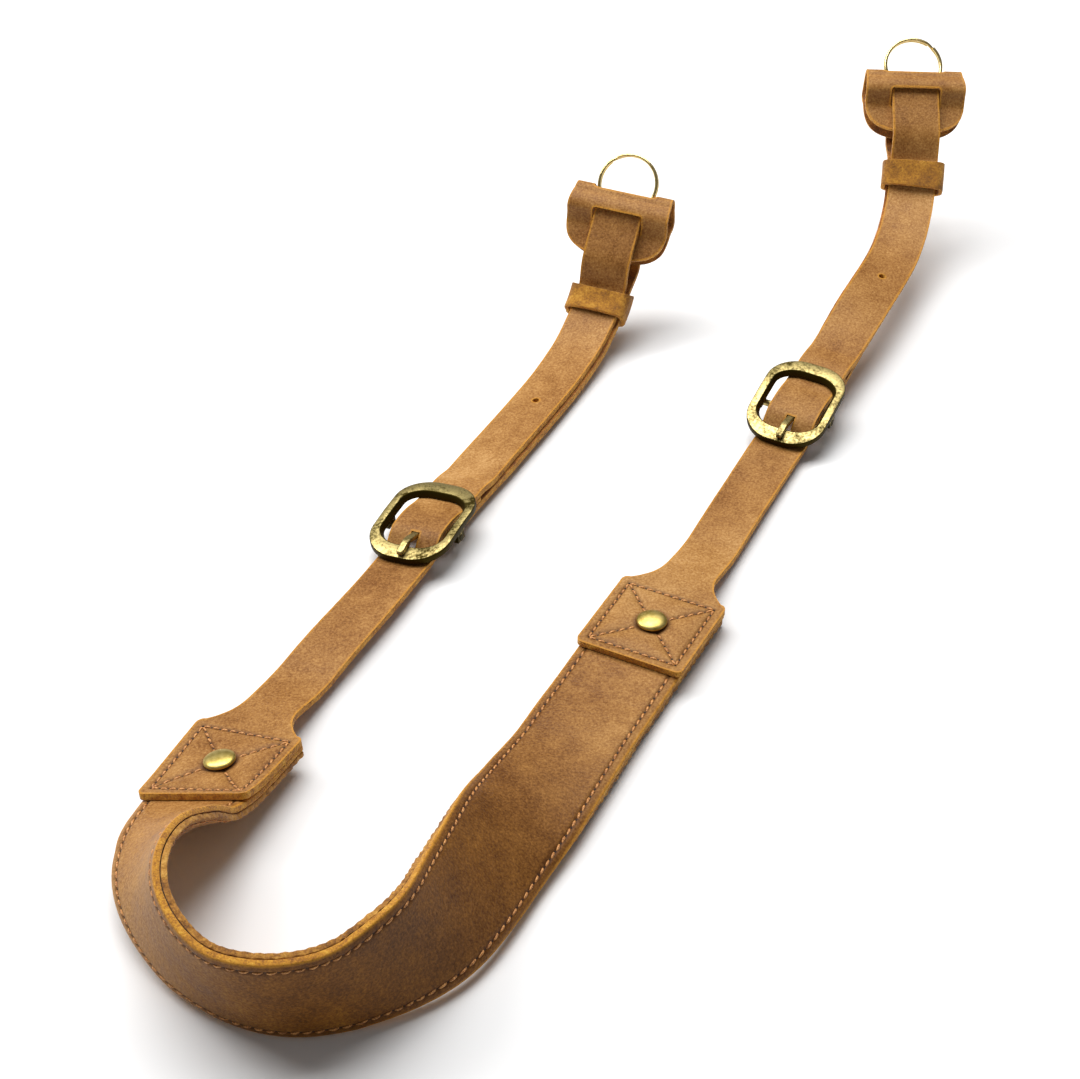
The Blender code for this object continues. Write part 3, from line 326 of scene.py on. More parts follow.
def strapPath():
    # The whole strap from the patch to the end of its lap, with its width and thickness
    line, half, thick, shift = [], [], [], []

    def add(points, halfWidth=strap["width"] / 2, thickness=strap["thickness"], aside=0.0):
        line.extend(points)
        for rows, value in ((half, halfWidth), (thick, thickness), (shift, aside)):
            rows.extend(np.broadcast_to(value, len(points)))

    low, bar, dip, fold = -layerOffset, strap["patchToBar"], endReach, strapRun
    halfPatch, halfStrap, corner = strap["patch"] / 2, strap["width"] / 2, strap["patchCorner"]
    drops = (1 - np.sin(patchTurn)) * corner
    add([(-strap["patch"] + s, low) for s in patchCurve], halfPatch - drops)
    add([(s, low) for s in spaced(-strap["patch"] + 2 * corner, -2 * corner, 5 * mm)], halfPatch)
    add([(-s, low) for s in patchCurve[::-1]], halfPatch - drops[::-1])
    t = np.linspace(0.04, 1, 24)
    reach = halfPatch - corner - halfStrap
    add([(share * strap["flare"], low) for share in t],
        halfStrap + reach * (1 - t) ** strap["flarePower"])

    # Over the buckle's bar and down behind it
    add([(s, low) for s in spaced(strap["flare"] + 6 * mm, bar - 1.3 * dip, 6 * mm)])
    lapEnd = strap["lap"] + 2 * gap
    humpS = [row[0] * dip for row in strap["climb"] + strap["fall"]] + [lapEnd, 1.45 * lapEnd]
    humpN = [low + (overBar - low) * row[1] for row in strap["climb"]]
    humpN += [overLap + (overBar - overLap) * row[1] for row in strap["fall"]]
    humpN += [overLap, layerOffset]
    add([(bar + s, readTable(humpS, humpN, s)) for s in spaced(humpS[0], humpS[-1], 1.2 * mm)])

    # Up the front, round the ring and down the back
    clasp = keeper["toFold"] - keeper["width"] / 2
    add([(s, layerOffset) for s in spaced(bar + humpS[-1], fold - clasp, 5 * mm)[1:]])
    bed = guard["thickness"] / 2 + 1.5 * gap + strap["thickness"] / 2
    midFlap = (slotEnd + guard["flap"]) / 2
    waist = strap["loopWaist"] / 2
    for flap, ease in (("front", 1), ("back", 2)):
        q = (strap["loopToFold"], slotEnd, midFlap, guard["flap"], clasp - (3 - ease) * mm)
        n = (strap["loopRadius"], guardHeight(slotEnd, flap) + bed,
             guardHeight(midFlap, flap) + bed + gap,
             guardHeight(guard["flap"], flap) + bed + ease * gap, layerOffset + gap)
        places = spaced(q[0], q[-1], 1.5 * mm)[1:]
        if flap == "back":
            add([(fold - place, -readTable(q, n, place)) for place in places],
                aside=strap["shift"] * (places - q[0]) / (q[-1] - q[0]))
            continue
        add([(fold - place, readTable(q, n, place)) for place in places[::-1]])
        # The loop narrows to its waist over the middle half of its turn
        drawn = np.clip(np.abs(np.linspace(90, -90, 25)) / 45 - 1, 0, 1)
        add(arc((fold - q[0], 0), strap["loopRadius"], 90, -90, 24),
            waist + (halfStrap - waist) * drawn)

    # Back down to the buckle, thinned and folded round its bar
    end = bar + wrapRadius
    backS = spaced(fold - clasp, end + 3 * mm, 5 * mm)
    fade = np.clip((backS - bar - strap["lap"]) / strap["lap"], 0, 1)
    add([(s, low) for s in backS], aside=strap["shift"] * fade)
    thin = strap["skived"]
    add([(end - gap, underStrap + thin / 2)], thickness=thin)
    add(arc((bar, barHeight), wrapRadius, -90, -270, 20), thickness=thin)
    lapS = (0.0, 0.3 * dip, 0.62 * dip, strap["lap"])
    lapN = (barHeight + wrapRadius, barHeight + 0.72 * wrapRadius, lapHeight, lapHeight)
    add([(bar + s, readTable(lapS, lapN, s)) for s in spaced(1.6 * mm, strap["lap"], 1.6 * mm)],
        thickness=thin)
    return Path(line, half=half, thick=thick, shift=shift)


def guardPath():
    # Up the front flap, over the fold and down the back flap
    steps = spaced(guard["flap"], guard["foldRadius"] + 0.6 * mm, 1.2 * mm)
    front = [(strapRun - q, float(guardHeight(q, "front"))) for q in steps]
    turn = arc((strapRun - guard["foldRadius"], 0), guard["foldRadius"], 90, -90, 20)
    back = [(strapRun - q, -float(guardHeight(q, "back"))) for q in steps[::-1]]
    return Path(front + turn + back)


def prongPath():
    # Round the bar from below, then out over the strap to the frame's near end
    bar = strap["patchToBar"]
    eye = arc((bar, barHeight), eyeRadius, prong["eyeStart"], 90, prong["eyeSteps"])
    tip = buckle["length"] / 2 - gap
    seat = buckle["thickness"] / 2 + prong["thickness"] / 2 + 2 * gap
    ends = [buckleHeight - buckleSlope * s + frameArch(s) + seat
            for s in (nearEdge, endReach, tip)]
    top = barHeight + eyeRadius
    place = (0.0, 0.45 * nearEdge, nearEdge, endReach, tip)
    height = (top, top + 0.4 * (ends[0] - top), *ends)
    return Path(eye + [(bar - s, float(readTable(place, height, s)))
                       for s in spaced(1.2 * mm, tip, 1 * mm)])


def frameArch(s):
    # The frame's arch over its length, s from its middle
    return buckle["dome"] * (1 - (2 * s / buckle["length"]) ** 2)


# Colours are sRGB hex values, as read off a swatch
def hexColour(value):
    parts = [int(value[k:k + 2], 16) / 255 for k in (1, 3, 5)]
    return tuple(c / 12.92 if c <= 0.04045 else ((c + 0.055) / 1.055) ** 2.4
                 for c in parts) + (1.0,)


def setSockets(material, node, values):
    # Each value is a number, a colour or another node's output
    for socket, value in values.items():
        if isinstance(value, bpy.types.NodeSocket):
            material.node_tree.links.new(value, node.inputs[socket])
        else:
            node.inputs[socket].default_value = value


def addNode(material, kind, values=None, out=0, tones=(), **settings):
    # One node with its settings and links, and a ramp's tones; gives back its output
    node = material.node_tree.nodes.new("ShaderNode" + kind)
    for name, value in settings.items():
        setattr(node, name, value)
    setSockets(material, node, values or {})
    for k, (place, colour) in enumerate(tones):
        if k > 1:
            node.color_ramp.elements.new(place)
        node.color_ramp.elements[k].position = place
        node.color_ramp.elements[k].color = hexColour(colour)
    return node.outputs[out]


def newMaterial(name):
    # The material and the function that adds its nodes
    material = bpy.data.materials.new(name)
    material.use_nodes = True
    return material, functools.partial(addNode, material)


def finishMaterial(material, values):
    setSockets(material, material.node_tree.nodes["Principled BSDF"], values)
    return material


def patternOf(add, place, rows):
    # Noises of a blotch width, detail, roughness and weight, and their weighted sum
    noises, total = [], 0.0
    for width, detail, rough, weight in rows:
        noises.append(add("TexNoise", {"Vector": place, "Scale": 1 / width, "Detail": detail,
                                       "Roughness": rough}))
        if weight:
            total = add("Math", {0: noises[-1], 1: weight, 2: total}, operation="MULTIPLY_ADD")
    return noises, total


def mottled(name, rows, tones, values, bump=None, gloss=None):
    # A plain finish: the sum picks the tone and the gloss, the first noise lifts the skin
    material, add = newMaterial(name)
    noises, total = patternOf(add, add("TexCoord", out="Object"), rows)
    values = {"Base Color": add("ValToRGB", {0: total}, tones=tones), **values}
    if bump:
        values["Normal"] = add("Bump", {"Height": noises[0], "Strength": bump[0],
                                        "Distance": bump[1]})
    if gloss:
        values["Roughness"] = add("MapRange", {"Value": total, "To Min": gloss[0],
                                               "To Max": gloss[1]})
    return finishMaterial(material, values)


def oiledLeather():
    # Oiled and waxed full-grain cowhide, aniline dyed: a satin skin mottled light and dark, with
    # a fine grain and paler worn rims; a darker copy of its tones is mixed in as painted shade
    material, add = newMaterial("oiledPullUpCowhide")
    place = add("TexCoord", out="Object")
    paintedShade, rim, seamDarkAndCapShadow = (add("Attribute", out="Fac", attribute_name=name)
                      for name in ("paintedShade", "rim", "seamDarkAndCapShadow"))
    (clouds, blots, flecks, creases), mottle = patternOf(add, place, (
        (70 * mm, 3.0, 0.55, 0.34), (9 * mm, 5.0, 0.7, 0.22), (0.9 * mm, 3.0, 0.75, 0.44),
        (5 * mm, 4.0, 0.6, 0)))
    # skin is the leather's own tone; deep is a darker copy of it, used only as painted shade
    skin, deep = (add("ValToRGB", {0: mottle}, tones=zip((0.38, 0.46, 0.54, 0.62), tones))
                  for tones in (("#74471C", "#946532", "#AC7D45", "#C2955D"),
                                ("#3E2005", "#5D3409", "#794910", "#966118")))
    # Painted shade: where the blank is marked for it, broken up by the clouds, the darker copy
    # is mixed in
    shadeBreakup = add("Math", {0: clouds, 1: 0.3}, operation="ADD")
    drawn = add("Math", {0: paintedShade, 1: shadeBreakup}, operation="MULTIPLY", use_clamp=True)
    bare = add("MapRange", {"Value": rim, "From Min": 1.0, "From Max": 0.1, "To Max": 0.85})
    chafed = add("MapRange", {"Value": flecks, "From Min": 0.25, "From Max": 0.5})
    worn = add("Math", {0: bare, 1: chafed}, operation="MULTIPLY")
    # Darker by the seams, and round the rivet's cap partly painted shadow
    seamAndCapDarkening = add("Math", {0: seamDarkAndCapShadow, 1: 0.8}, operation="MULTIPLY")
    # Sockets 6 and 7 are the colours of a Mix node that is set to colour, 2 its result
    for factor, colour in ((drawn, deep), (worn, hexColour("#C98C2E")),
                           (seamAndCapDarkening, hexColour("#4A280E"))):
        skin = add("Mix", {0: factor, 6: skin, 7: colour}, 2, data_type="RGBA")
    grain = add("TexVoronoi", {"Vector": place, "Scale": 1 / (0.75 * mm)}, feature="F1")
    pebble = add("Math", {0: grain, 1: 0.6}, operation="MULTIPLY")
    pebble = add("Math", {0: flecks, 1: 0.8, 2: pebble}, operation="MULTIPLY_ADD")
    bump = add("Bump", {"Height": pebble, "Strength": 0.75, "Distance": 0.16 * mm})
    bump = add("Bump", {"Height": creases, "Normal": bump, "Strength": 0.35,
                        "Distance": 0.5 * mm})
    gloss = add("MapRange", {"Value": blots, "From Min": 0.3, "From Max": 0.7,
                             "To Min": 0.42, "To Max": 0.60})
    return finishMaterial(material, {"Base Color": skin, "Normal": bump, "Roughness": gloss,
                                     "IOR": 1.5, "Specular IOR Level": 0.16})


def cutEdge():
    # The same hide where it was cut: unfinished fibre, golden where oil has soaked in
    return mottled("rawCutLeatherEdge", ((0.7 * mm, 4.0, 0.75, 0.6), (3.5 * mm, 4.0, 0.65, 0.4)),
                   ((0.36, "#784608"), (0.46, "#B07212"), (0.54, "#CE901C"), (0.66, "#E4B241")),
                   {"Roughness": 0.85, "Sheen Weight": 0.1, "Sheen Roughness": 0.6},
                   bump=(0.9, 0.5 * mm))


def splitSuede(name, tones, nap):
    # The flesh side of the hide: matt, with short fibres that lie in all directions
    return mottled(name, ((nap, 4.0, 0.7, 0.5), (6 * mm, 4.0, 0.6, 0.5)),
                   zip((0.36, 0.47, 0.56, 0.66), tones),
                   {"Roughness": 0.9, "Sheen Weight": 0.15, "Sheen Roughness": 0.5},
                   bump=(0.8, 0.4 * mm))


def antiqueBrass():
    # Die-cast, brass plated, blackened and relieved: pale brass on the flats, dark
    # olive left in the hollows and round the rims
    material, add = newMaterial("antiquedCastBrass")
    (speckle, _), stain = patternOf(add, add("TexCoord", out="Object"), (
        (1.1 * mm, 5.0, 0.7, 0.55), (9 * mm, 3.0, 0.6, 0.55)))
    wall = add("Attribute", out="Fac", attribute_name="wall")
    stain = add("Math", {0: wall, 1: 0.26, 2: stain}, operation="MULTIPLY_ADD")
    dark = add("MapRange", {"Value": stain, "From Min": 0.47, "From Max": 0.66})
    colour = add("Mix", {0: dark, 6: hexColour("#BBA86E"), 7: hexColour("#392F0E")}, 2,
                 data_type="RGBA")
    rough = add("MapRange", {"Value": dark, "To Min": 0.37, "To Max": 0.58})
    bump = add("Bump", {"Height": speckle, "Strength": 0.25, "Distance": 0.15 * mm})
    return finishMaterial(material, {"Base Color": colour, "Roughness": rough,
                                     "Normal": bump, "Metallic": 1.0})


def turnedBrass():
    # Lacquered brass rivet, pressed and tumbled: smooth, with a slightly dull gold
    return mottled("lacqueredBrassRivet", ((2.5 * mm, 4.0, 0.6, 1),),
                   ((0.35, "#B49C4C"), (0.65, "#CDB76E")), {"Metallic": 1.0},
                   gloss=(0.33, 0.46))


def platedWire():
    # Hardened steel wire, thinly gold plated: bright and pale
    return mottled("goldPlatedSteelWire", ((1.2 * mm, 3.0, 0.6, 1),),
                   ((0.35, "#D9BD72"), (0.65, "#EBD69A")), {"Metallic": 1.0, "Roughness": 0.2})


def waxedThread():
    # Waxed polyester thread, bonded: a fine mottle of golden browns
    return mottled("waxedPolyesterThread", ((0.5 * mm, 2.0, 0.5, 1),),
                   ((0.34, "#7E4A1A"), (0.46, "#B47438"), (0.62, "#DC9F5A")),
                   {"Roughness": 0.55})


def needleHole():
    # Pricked holes, filled dark: painted shade for the depth of each needle hole
    return finishMaterial(newMaterial("needleHoleShade")[0],
                          {"Base Color": hexColour("#2A1608"), "Roughness": 0.8})


grainSide = oiledLeather()
rawEdge = cutEdge()
fleshSide = splitSuede("rawFleshSide", ("#5E3611", "#93591D", "#B87728", "#D09A4A"), 0.6 * mm)
liningSuede = splitSuede("splitSuedeLining", ("#5E3A10", "#94601C", "#B88230", "#D2A450"),
                         0.8 * mm)
keeperSuede = splitSuede("goldenSuedeKeeper", ("#6A4008", "#94600F", "#B0781A", "#C99636"),
                         0.9 * mm)
oldBrass = antiqueBrass()
rivetBrass = turnedBrass()
ringPlate = platedWire()
thread = waxedThread()
paintedHoleShade = needleHole()
print("materials ready")


def deselect():
    if bpy.context.object and bpy.context.object.mode != "OBJECT":
        bpy.ops.object.mode_set(mode="OBJECT")
    bpy.ops.object.select_all(action="DESELECT")


def takeUp(name):
    # Names a new primitive and puts its place, turn and scale into its mesh
    bpy.ops.object.transform_apply(location=True, rotation=True, scale=True)
    piece = bpy.context.object
    piece.name = name
    piece.data.name = name
    return piece


def addObject(name, data):
    thing = bpy.data.objects.new(name, data)
    bpy.context.scene.collection.objects.link(thing)
    return thing


def pick(piece):
    deselect()
    piece.select_set(True)
    bpy.context.view_layer.objects.active = piece


def editAll(action="SELECT"):
    bpy.ops.object.mode_set(mode="EDIT")
    bpy.ops.mesh.select_all(action=action)


def thicken(height):
    # In edit mode, gives an open plate its thickness, with its faces pointing outwards
    bpy.ops.mesh.select_all(action="SELECT")
    bpy.ops.mesh.extrude_region_move(TRANSFORM_OT_translate={"value": (0, 0, height)})
    bpy.ops.mesh.select_all(action="SELECT")
    bpy.ops.mesh.normals_make_consistent(inside=False)
    bpy.ops.object.mode_set(mode="OBJECT")


def corners(piece):
    co = np.empty(len(piece.data.vertices) * 3)
    piece.data.vertices.foreach_get("co", co)
    return co.reshape(-1, 3)


def setCorners(piece, co):
    piece.data.vertices.foreach_set("co", np.asarray(co, float).ravel())
    piece.data.update()


def markPoints(piece, name, values):
    mark = piece.data.attributes.new(name, "FLOAT", "POINT")
    mark.data.foreach_set("value", np.asarray(values, np.float32))


def applyModifier(piece, kind, **settings):
    pick(piece)
    step = piece.modifiers.new(kind.title(), kind)
    for name, value in settings.items():
        setattr(step, name, value)
    bpy.ops.object.modifier_apply(modifier=step.name)


def soften(piece, width, segments=2, angle=60):
    applyModifier(piece, "BEVEL", width=width, segments=segments,
                  angle_limit=math.radians(angle))


def punch(piece, cutter, operation="DIFFERENCE"):
    applyModifier(piece, "BOOLEAN", operation=operation, solver="EXACT", object=cutter)
    bpy.data.objects.remove(cutter)


def boxTool(low, high, corner=0.0):
    deselect()
    low, high = Vector(low), Vector(high)
    bpy.ops.mesh.primitive_cube_add(size=1, location=(low + high) / 2)
    bpy.context.object.scale = high - low
    tool = takeUp("boxTool")
    if corner:
        editAll("DESELECT")
        bpy.ops.object.mode_set(mode="OBJECT")
        for edge in tool.data.edges:
            a, b = (tool.data.vertices[k].co for k in edge.vertices)
            edge.select = abs(a.z - b.z) > 1e-6
        bpy.ops.object.mode_set(mode="EDIT")
        bpy.ops.mesh.bevel(offset=corner, segments=8, affect="EDGES")
        bpy.ops.object.mode_set(mode="OBJECT")
    return tool


def punchSlot(blank, start, end, width, corner):
    # Right through a blank, from start to end down its length
    half, deep = width / 2, 6 * mm
    punch(blank, boxTool((start, -half, -deep), (end, half, deep), corner))


def cutLeather(name, rows, columns, halfWidth, thickness):
    # A blank on the bench: X down it, Y across it, Z out of its skin
    deselect()
    bpy.ops.mesh.primitive_grid_add(x_subdivisions=len(rows) - 1,
                                    y_subdivisions=len(columns) - 1, size=1)
    blank = takeUp(name)
    bpy.ops.object.mode_set(mode="EDIT")
    thicken(1)
    co = corners(blank)
    i = np.rint((co[:, 0] + 0.5) * (len(rows) - 1)).astype(int)
    j = np.rint((co[:, 1] + 0.5) * (len(columns) - 1)).astype(int)
    half = np.broadcast_to(halfWidth, len(rows))
    thick = np.broadcast_to(thickness, len(rows))
    setCorners(blank, np.stack([np.asarray(rows)[i], np.asarray(columns)[j] * half[i],
                                (co[:, 2] - 0.5) * thick[i]], axis=-1))
    return blank


def dressLeather(blank, fray, seam=None, paintedShading=None, shades=(grainSide, fleshSide, rawEdge)):
    # Marks the flat blank for its materials, then makes its cut edge a little ragged
    mesh = blank.data
    for shade in shades:
        mesh.materials.append(shade)
    normals = np.empty(len(mesh.polygons) * 3)
    mesh.polygons.foreach_get("normal", normals)
    up = normals.reshape(-1, 3)[:, 2]
    mesh.polygons.foreach_set("material_index",
                              np.where(up > 0.5, 0, np.where(up < -0.5, 1, 2)).astype(np.int32))
    co = corners(blank)
    x, y, z = co.T
    if seam:
        # How close each point is to a seam, where the skin is darker; round a rivet's cap this
        # is partly painted shadow
        markPoints(blank, "seamDarkAndCapShadow", np.exp(-(seam(x, y) / sewing["shade"]) ** 2) * (z > 0))
    if paintedShading:
        # Painted shade, read from a table by the share of the blank's length
        markPoints(blank, "paintedShade", readTable(*zip(*paintedShading), (x - x.min()) / np.ptp(x)))
    atEdge = {k for face, rise in zip(mesh.polygons, up) if abs(rise) <= 0.5
              for k in face.vertices}
    # The distance to the nearest cut in the skin, for the pale rim
    tree = kdtree.KDTree(len(atEdge))
    skinSide = z.max() / 2
    for k in atEdge:
        if z[k] > skinSide:
            tree.insert((x[k], y[k], 0), k)
    tree.balance()
    markPoints(blank, "rim", [tree.find((a, b, 0))[2] / mm for a, b in zip(x, y)])
    flat = mesh.uv_layers.new(name="flatCut")
    loops = np.empty(len(mesh.loops), dtype=np.int32)
    mesh.loops.foreach_get("vertex_index", loops)
    flat.data.foreach_set("uv", co[loops][:, :2].astype(np.float32).ravel())
    for k in atEdge:
        push = noise.noise_vector(Vector(co[k]) / (2.6 * mm))
        co[k] += np.array((push.x, push.y, 0.5 * push.z)) * fray
    setCorners(blank, co)


def raiseSkin(blank, relief):
    co = corners(blank)
    co[:, 2] += relief(co[:, 0], co[:, 1]) * (co[:, 2] > 0)
    setCorners(blank, co)


def bendLeather(blank, path, run, aside=None):
    co = corners(blank)
    s, n = path.at(co[:, 0], co[:, 2])
    across = co[:, 1] if aside is None else co[:, 1] + aside(co[:, 0])
    setCorners(blank, run.place(s, across, n))


def finishPiece(piece, slot, *nodes, angle=40):
    pick(piece)
    bpy.ops.object.shade_smooth_by_angle(angle=math.radians(angle))
    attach(piece, "root")
    if nodes:
        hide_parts(*nodes)


# Seams: pitch is from stitch to stitch, and the thread covers a share of it
sewing = {"pitch": 3.8 * mm, "patchPitch": 3.3 * mm, "cover": 0.80, "width": 0.9 * mm,
          "height": 0.63 * mm, "dip": 0.34 * mm, "stand": 0.24 * mm, "slant": 10, "jitter": 2.5,
          "hole": (0.9 * mm, 0.95 * mm, 0.3 * mm), "shade": 0.75 * mm}

# Shoulder pad. The seam runs along both margins and pulls the skin down
padHalf = pad["width"] / 2
padTurn = 2 * math.pi / sewing["pitch"]


def padSeam(x, y):
    return np.abs(padHalf - np.abs(y) - pad["margin"])


def padRelief(x, y):
    roll = np.clip((pad["margin"] - padHalf + np.abs(y)) / pad["margin"], 0, 1)
    pucker = 1 + pad["pucker"] * np.cos(padTurn * x)
    return (-pad["marginDrop"] * pad["rollShare"] * roll ** pad["rollPower"]
            - pad["grooveDepth"] * pucker * np.exp(-(padSeam(x, y) / pad["grooveWidth"]) ** 2))


def padColumns():
    # Closer together at the seam and at the rim than over the middle
    seam = padHalf - pad["margin"]
    near = seam + np.array((-2.4, -1.5, -0.9, -0.45, 0, 0.45, 0.9, 1.5)) * mm
    rim = padHalf - np.array((1.0, 0.45, 0)) * mm
    side = np.concatenate([spaced(0, seam - 3.4 * mm, 2.2 * mm), near, rim])
    return np.concatenate([-side[:0:-1], side]) / padHalf


def flatPath(n):
    return Path([(s, n) for s in spaced(0, pad["length"], 4 * mm)])


padRows = spaced(0, pad["length"], pad["rowStep"])
topPath = flatPath(-pad["top"] / 2)
liningPath = flatPath(-pad["top"] - gap - pad["lining"] / 2)


def makePadTop():
    top = cutLeather("padTopSkin", padRows, padColumns(), padHalf, pad["top"])
    soften(top, pad["bevel"], angle=50)
    dressLeather(top, pad["fray"], padSeam, pad["paintedShading"])
    raiseSkin(top, padRelief)
    bendLeather(top, topPath, padLine)
    finishPiece(top, "oiled_leather", "pad_top_leather")


def makePadLining():
    lining = cutLeather("padSuedeLining", padRows, padColumns(), padHalf, pad["lining"])
    soften(lining, pad["liningBevel"], angle=50)
    dressLeather(lining, pad["liningFray"], padSeam, shades=(liningSuede,) * 3)
    co = corners(lining)
    groove = np.exp(-(padSeam(co[:, 0], co[:, 1]) / pad["grooveWidth"]) ** 2)
    co[:, 2] += pad["liningGroove"] * groove * (co[:, 2] < 0)
    # The thread draws the soft rim in at each stitch
    atRim = np.clip(1 - (padHalf - np.abs(co[:, 1])) / pad["scallopReach"], 0, 1)
    pull = 0.5 + 0.5 * np.cos(padTurn * co[:, 0])
    co[:, 1] -= np.sign(co[:, 1]) * pad["scallop"] * atRim * pull
    setCorners(lining, co)
    bendLeather(lining, liningPath, padLine)
    finishPiece(lining, "rough_leather", "pad_lining")


def stitchForm():
    # One stitch, modelled once: a rounded length of thread whose ends go down
    deselect()
    bpy.ops.mesh.primitive_uv_sphere_add(segments=8, ring_count=6, radius=0.5)
    bpy.ops.transform.rotate(value=math.pi / 2, orient_axis="Y", center_override=(0, 0, 0))
    form = takeUp("stitchForm")
    co = corners(form)
    faces = [tuple(face.vertices) for face in form.data.polygons]
    bpy.data.objects.remove(form)
    return co, faces


stitchCo, stitchFaces = stitchForm()


def seamStitches(start, end, pitch):
    # Middle, direction and pitch of the stitches between two flat places
    start, end = np.asarray(start, float), np.asarray(end, float)
    length = np.linalg.norm(end - start)
    count = max(1, int(round(length / pitch)))
    return [(start + (end - start) * t, (end - start) / length, length / count)
            for t in (np.arange(count) + 0.5) / count]


def sew(name, stitches, height, path, run, side=1):
    # Lays a stitch and the hole after it at each place on the flat blank, then bends all
    points, faces, kinds = [], [], []
    width = sewing["width"]
    for middle, direction, pitch in stitches:
        slant = math.radians(sewing["slant"] + rng.normal(0, sewing["jitter"]))
        turn = math.atan2(direction[1], direction[0]) + slant * side
        cos, sin = math.cos(turn), math.sin(turn)
        x, y = stitchCo[:, 0] * pitch * sewing["cover"], stitchCo[:, 1] * width
        base = height(*middle) + sewing["stand"] - sewing["dip"] * (2 * stitchCo[:, 0]) ** 2
        stitch = (middle[0] + x * cos - y * sin, middle[1] + x * sin + y * cos,
                  base + stitchCo[:, 2] * sewing["height"])
        hx, hy = middle + direction * pitch / 2
        hole = (stitchCo * sewing["hole"] + (hx, hy, height(hx, hy))).T
        for kind, (px, py, pz) in enumerate((stitch, hole)):
            faces.extend(tuple(k + len(points) for k in face[::side]) for face in stitchFaces)
            points.extend(zip(px, py, side * pz))
            kinds.extend([kind] * len(stitchFaces))
    mesh = bpy.data.meshes.new(name)
    mesh.from_pydata(points, [], faces)
    seam = addObject(name, mesh)
    mesh.materials.append(thread)
    mesh.materials.append(paintedHoleShade)
    mesh.polygons.foreach_set("material_index", np.array(kinds, dtype=np.int32))
    bendLeather(seam, path, run)
    finishPiece(seam, "oiled_leather", angle=180)


def sewPad(name, inset, height, path, side=1):
    seam = padHalf - pad["margin"]
    rows = [s for y in (-seam, seam) for s in
            seamStitches((inset, y), (pad["length"] - inset, y), sewing["pitch"])]
    sew(name, rows, height, path, padLine, side)


makePadTop()
makePadLining()
sewPad("padTopStitches", strap["patch"] + 0.5 * mm,
       lambda x, y: pad["top"] / 2 + padRelief(x, y), topPath)
sewPad("padLiningStitches", 2 * mm, lambda x, y: pad["lining"] / 2 - 0.2 * mm, liningPath, -1)
print("pad made")

# Straps
strapCut = strapPath()
patchMiddle = strap["patch"] / 2
sewnHalf = patchMiddle - strap["sewnInset"]


def patchSeam(x, y):
    # Distance to the patch's sewn square and its two diagonals
    px, py = np.abs(x - patchMiddle), np.abs(y)
    square = np.maximum(px, py) - sewnHalf
    cross = np.where(square < 0, np.abs(px - py) / math.sqrt(2), 1.0)
    return np.minimum(np.abs(square), cross)


def patchRelief(x, y):
    # The seams sink in, the leather between them puffs up, the rivet presses its seat
    seam, fromRivet = patchSeam(x, y), np.hypot(x - patchMiddle, y)
    sewnIn = np.maximum(np.abs(x - patchMiddle), np.abs(y)) < sewnHalf
    puff = strap["puff"] * (1 - np.exp(-(seam / strap["puffReach"]) ** 2)) * sewnIn
    groove = strap["groove"] * np.exp(-(seam / strap["grooveWidth"]) ** 2)
    seat = strap["seat"] * np.exp(-(fromRivet / strap["seatReach"]) ** 4)
    relief = (puff - groove) * (1 - np.exp(-(fromRivet / strap["seatEdge"]) ** 4)) - seat
    return relief * (x < strap["patch"])


def patchShade(x, y):
    # The seams darken, and so does the leather round the rivet's rim: partly pressed, partly
    # painted shadow of the cap
    rivetRim = np.maximum(np.hypot(x - patchMiddle, y) - rivet["cap"] / 2, 0)
    near = np.minimum(patchSeam(x, y), rivetRim / strap["rimFade"])
    return np.where(x < strap["patch"], near, 1.0)


def prongTool():
    # On the flat strap, the slanting way that the prong comes up through it
    way = prongPath()
    shank, front = way.u > eyeLength, strapCut.u < strapCut.length / 2
    s = spaced(strap["patchToBar"] - nearEdge, strap["patchToBar"] - 2.5 * mm, 0.7 * mm)
    strapS, strapN = strapCut.point[front].T
    rows = np.interp(s, strapS, strapCut.u[front])
    shankS, shankN = way.point[shank][::-1].T
    lean = np.interp(rows, strapCut.u, strapCut.tangent[:, 0])
    over = (np.interp(s, shankS, shankN) - np.interp(s, strapS, strapN)) * lean
    tool = cutLeather("prongTool", rows, np.linspace(-1, 1, 3), prong["width"] / 2 + gap,
                      prong["thickness"] + gap)
    # Above the shank the skin stays whole up to where the shank comes out of it
    above, beneath = 4 * mm, 3 * mm
    co = corners(tool)
    roof = np.interp(co[:, 0], rows, over) + (prong["thickness"] + gap) / 2
    hidden = roof < strap["thickness"] / 2 + 0.1 * mm
    roof = np.where(hidden, np.minimum(roof, strap["thickness"] / 5), above)
    co[:, 2] = np.where(co[:, 2] > 0, roof, -beneath)
    setCorners(tool, co)
    return tool


